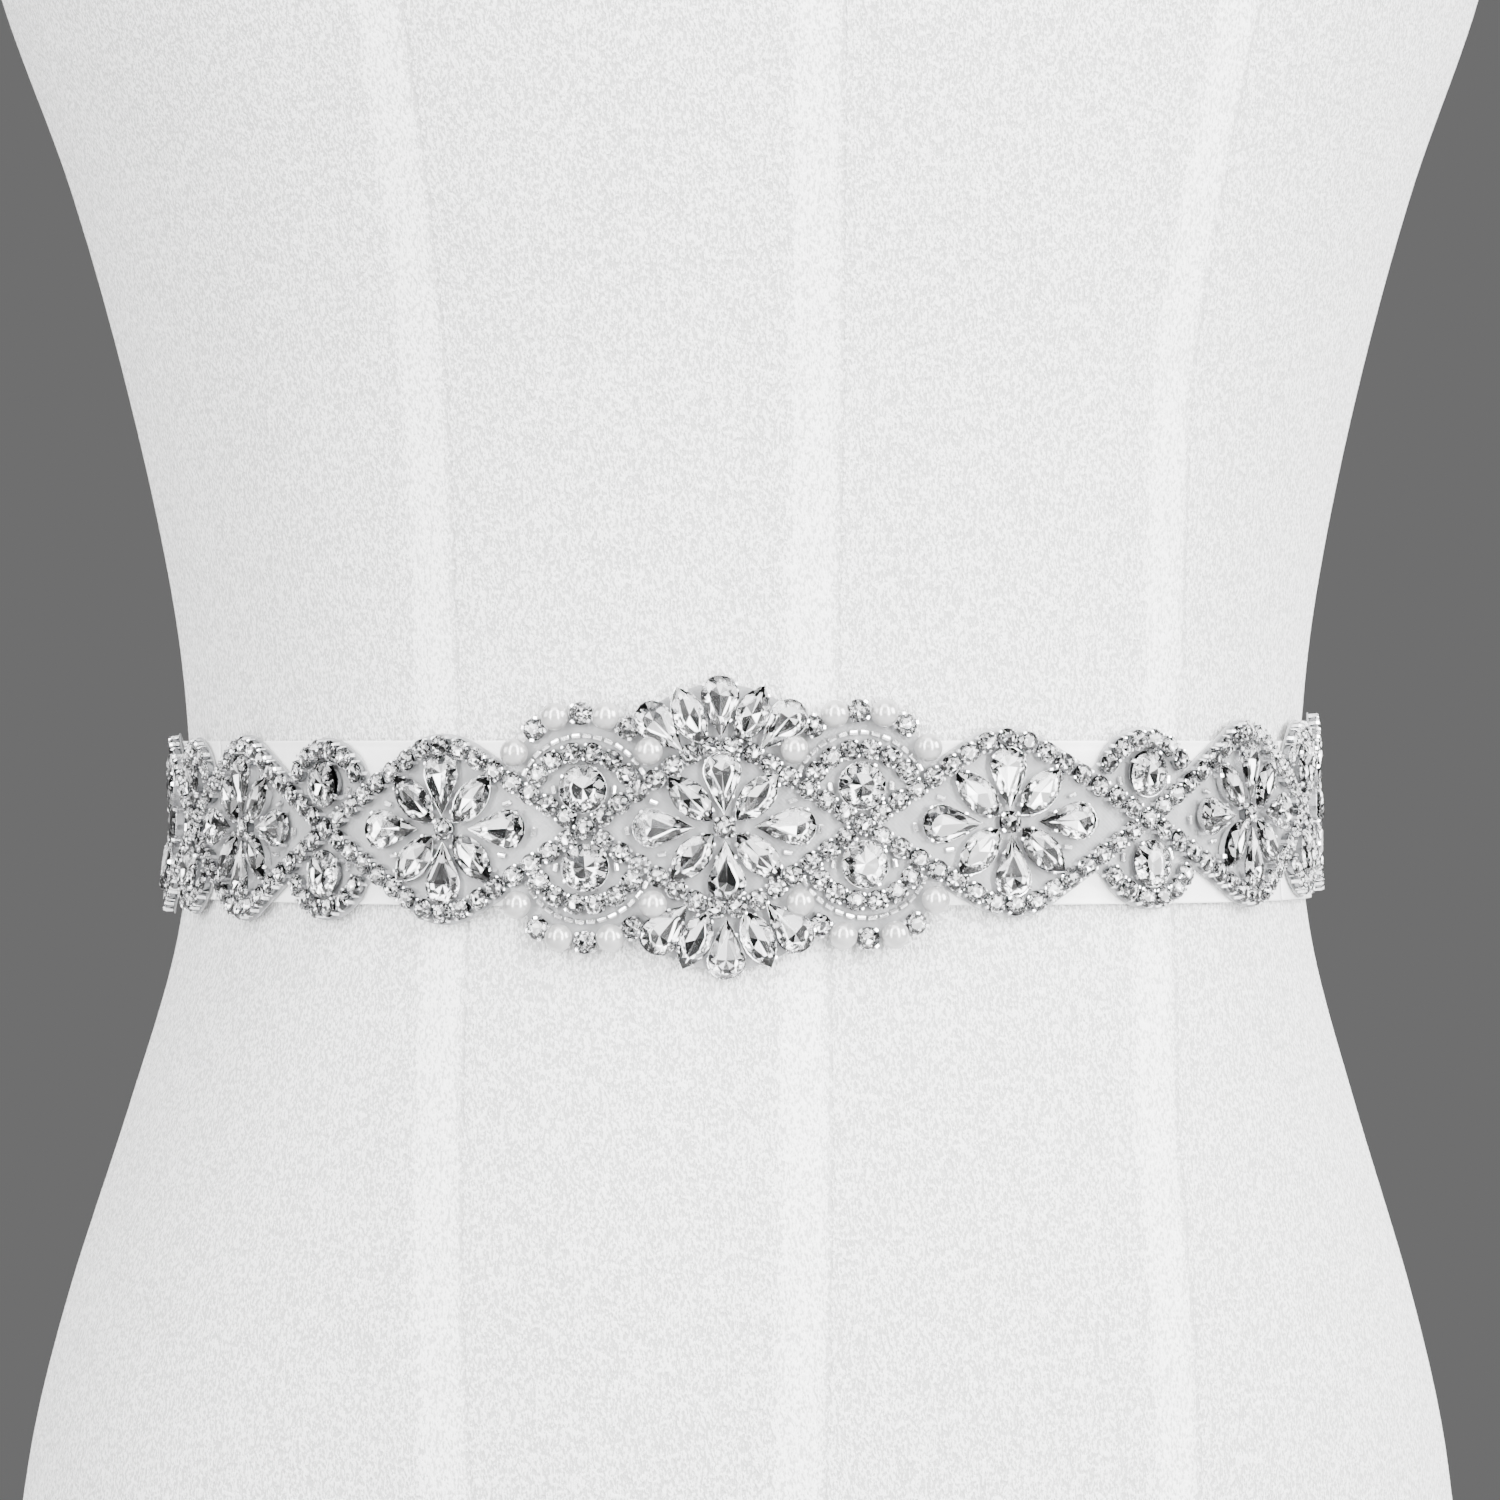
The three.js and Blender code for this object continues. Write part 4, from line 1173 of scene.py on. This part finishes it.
def build_stones():
    plan = plan_applique()
    petal, navette = petal_outline(), navette_outline()
    large, claw = round_outline(ROUND_RADIUS, 24), round_outline(CLAW_RADIUS)
    small = round_outline(CHAIN_RADIUS - 0.12)
    petal_keel = PETAL_SIZE[0] - PETAL_SIZE[1] / 2
    middle = NAVETTE_SIZE[0] / 2
    # The tone ranges are painted reflections on the stones' foil; the last column is the cup's tone, dark
    # as painted shade
    kinds = (
        ("petal", petal, petal_keel, 2.1, 1.1, 1.0, 0.6, LARGE_PAINTED_REFLECTIONS, (1, 5, 11, 15), 0.9, 0.8),
        ("navette", navette, middle, 1.9, 1.05, 0.95, 0.52, LARGE_PAINTED_REFLECTIONS, (1, 7, 9, 15), 0.9, 0.8),
        ("round", large, 0, 2.1, 1.2, 1.3, 0.5, SMALL_PAINTED_REFLECTIONS, (3, 9, 15, 21), 0.9, 0.3),
        ("claw", claw, 0, 1.8, 0.9, 0.9, 0.5, SMALL_PAINTED_REFLECTIONS, (0, 4, 8, 12), 1.1, 0.1),
        ("chain", small, 0, 1.7, 0.75, 0.8, 0.5, SMALL_PAINTED_REFLECTIONS, (2, 6, 10, 14), 0.75, 0.1),
    )
    for kind, outline, keel, girdle, rise, depth, table, painted_tones, claws, claw_width, cup_shade in kinds:
        stone = Template()
        cut_stone(stone, outline, keel, girdle, rise, depth, table)
        tilt = 0.06 if kind in ("chain", "claw") else 0.05
        settle(f"{kind}_stones", stone, plan[kind], GLASS, FOIL, tilt, painted_tones=painted_tones)
        # Painted shade: the cup walls take the last column's tone, darkest round the small stones
        cups = setting(outline, girdle, claws, claw_width, cup_shade)
        settle(f"{kind}_settings", cups, plan[kind], SILVER, tilt=0.0)
    settle("chain_links", chain_link(), plan["chain"], SILVER, tilt=0.0)
    settle("pearls", pearl_ball(PEARL_RADIUS), plan["pearl"], PEARL, tilt=0.0, smooth_shaded=True)
    settle("bugle_beads", bead_tube(*BUGLE_SIZE), plan["bugle"], BUGLE, tilt=0.03, rise=0.05)


# Camera, light and floor

def build_studio():
    camera_data = bpy.data.cameras.new("camera")
    camera_data.sensor_width = 36
    camera_data.lens = LENS_PER_SENSOR * camera_data.sensor_width
    camera_data.clip_end = 20
    camera = bpy.data.objects.new("camera", camera_data)
    camera.location = (CAMERA_ASIDE * MM, -CAMERA_DISTANCE * MM, CAMERA_HEIGHT * MM)
    camera.rotation_euler = (math.pi / 2, 0, 0)
    bpy.context.scene.collection.objects.link(camera)
    bpy.context.scene.camera = camera
    for name, place, size, watts in LAMPS:
        data = bpy.data.lights.new(name, "AREA")
        data.shape = "RECTANGLE"
        data.size, data.size_y = size
        data.energy = watts
        lamp = bpy.data.objects.new(name, data)
        lamp.location = place
        lamp.visible_camera = False
        aim = Vector((0, 0, SASH_HEIGHT * MM)) - Vector(place)
        lamp.rotation_euler = aim.to_track_quat("-Z", "Y").to_euler()
        bpy.context.scene.collection.objects.link(lamp)
    world = bpy.data.worlds.new("studio")
    world.use_nodes = True
    world.node_tree.nodes["Background"].inputs["Color"].default_value = (*(WORLD_GREY,) * 3, 1)
    world.node_tree.nodes["Background"].inputs["Strength"].default_value = 1.0
    bpy.context.scene.world = world
    count = 96
    angle = np.linspace(0, 2 * math.pi, count, endpoint=False)
    flat = FLOOR_RADIUS * np.column_stack([np.cos(angle), np.sin(angle)])
    rim = np.column_stack([flat, np.full(count, FLOOR_LEVEL)])
    floor = add_object("floor", rim, [tuple(range(count))], [make_floor()], body=None, smooth_shaded=False)


build_studio()
build_form()
build_ribbon()
build_knot()
build_tails()
build_net()
build_stones()
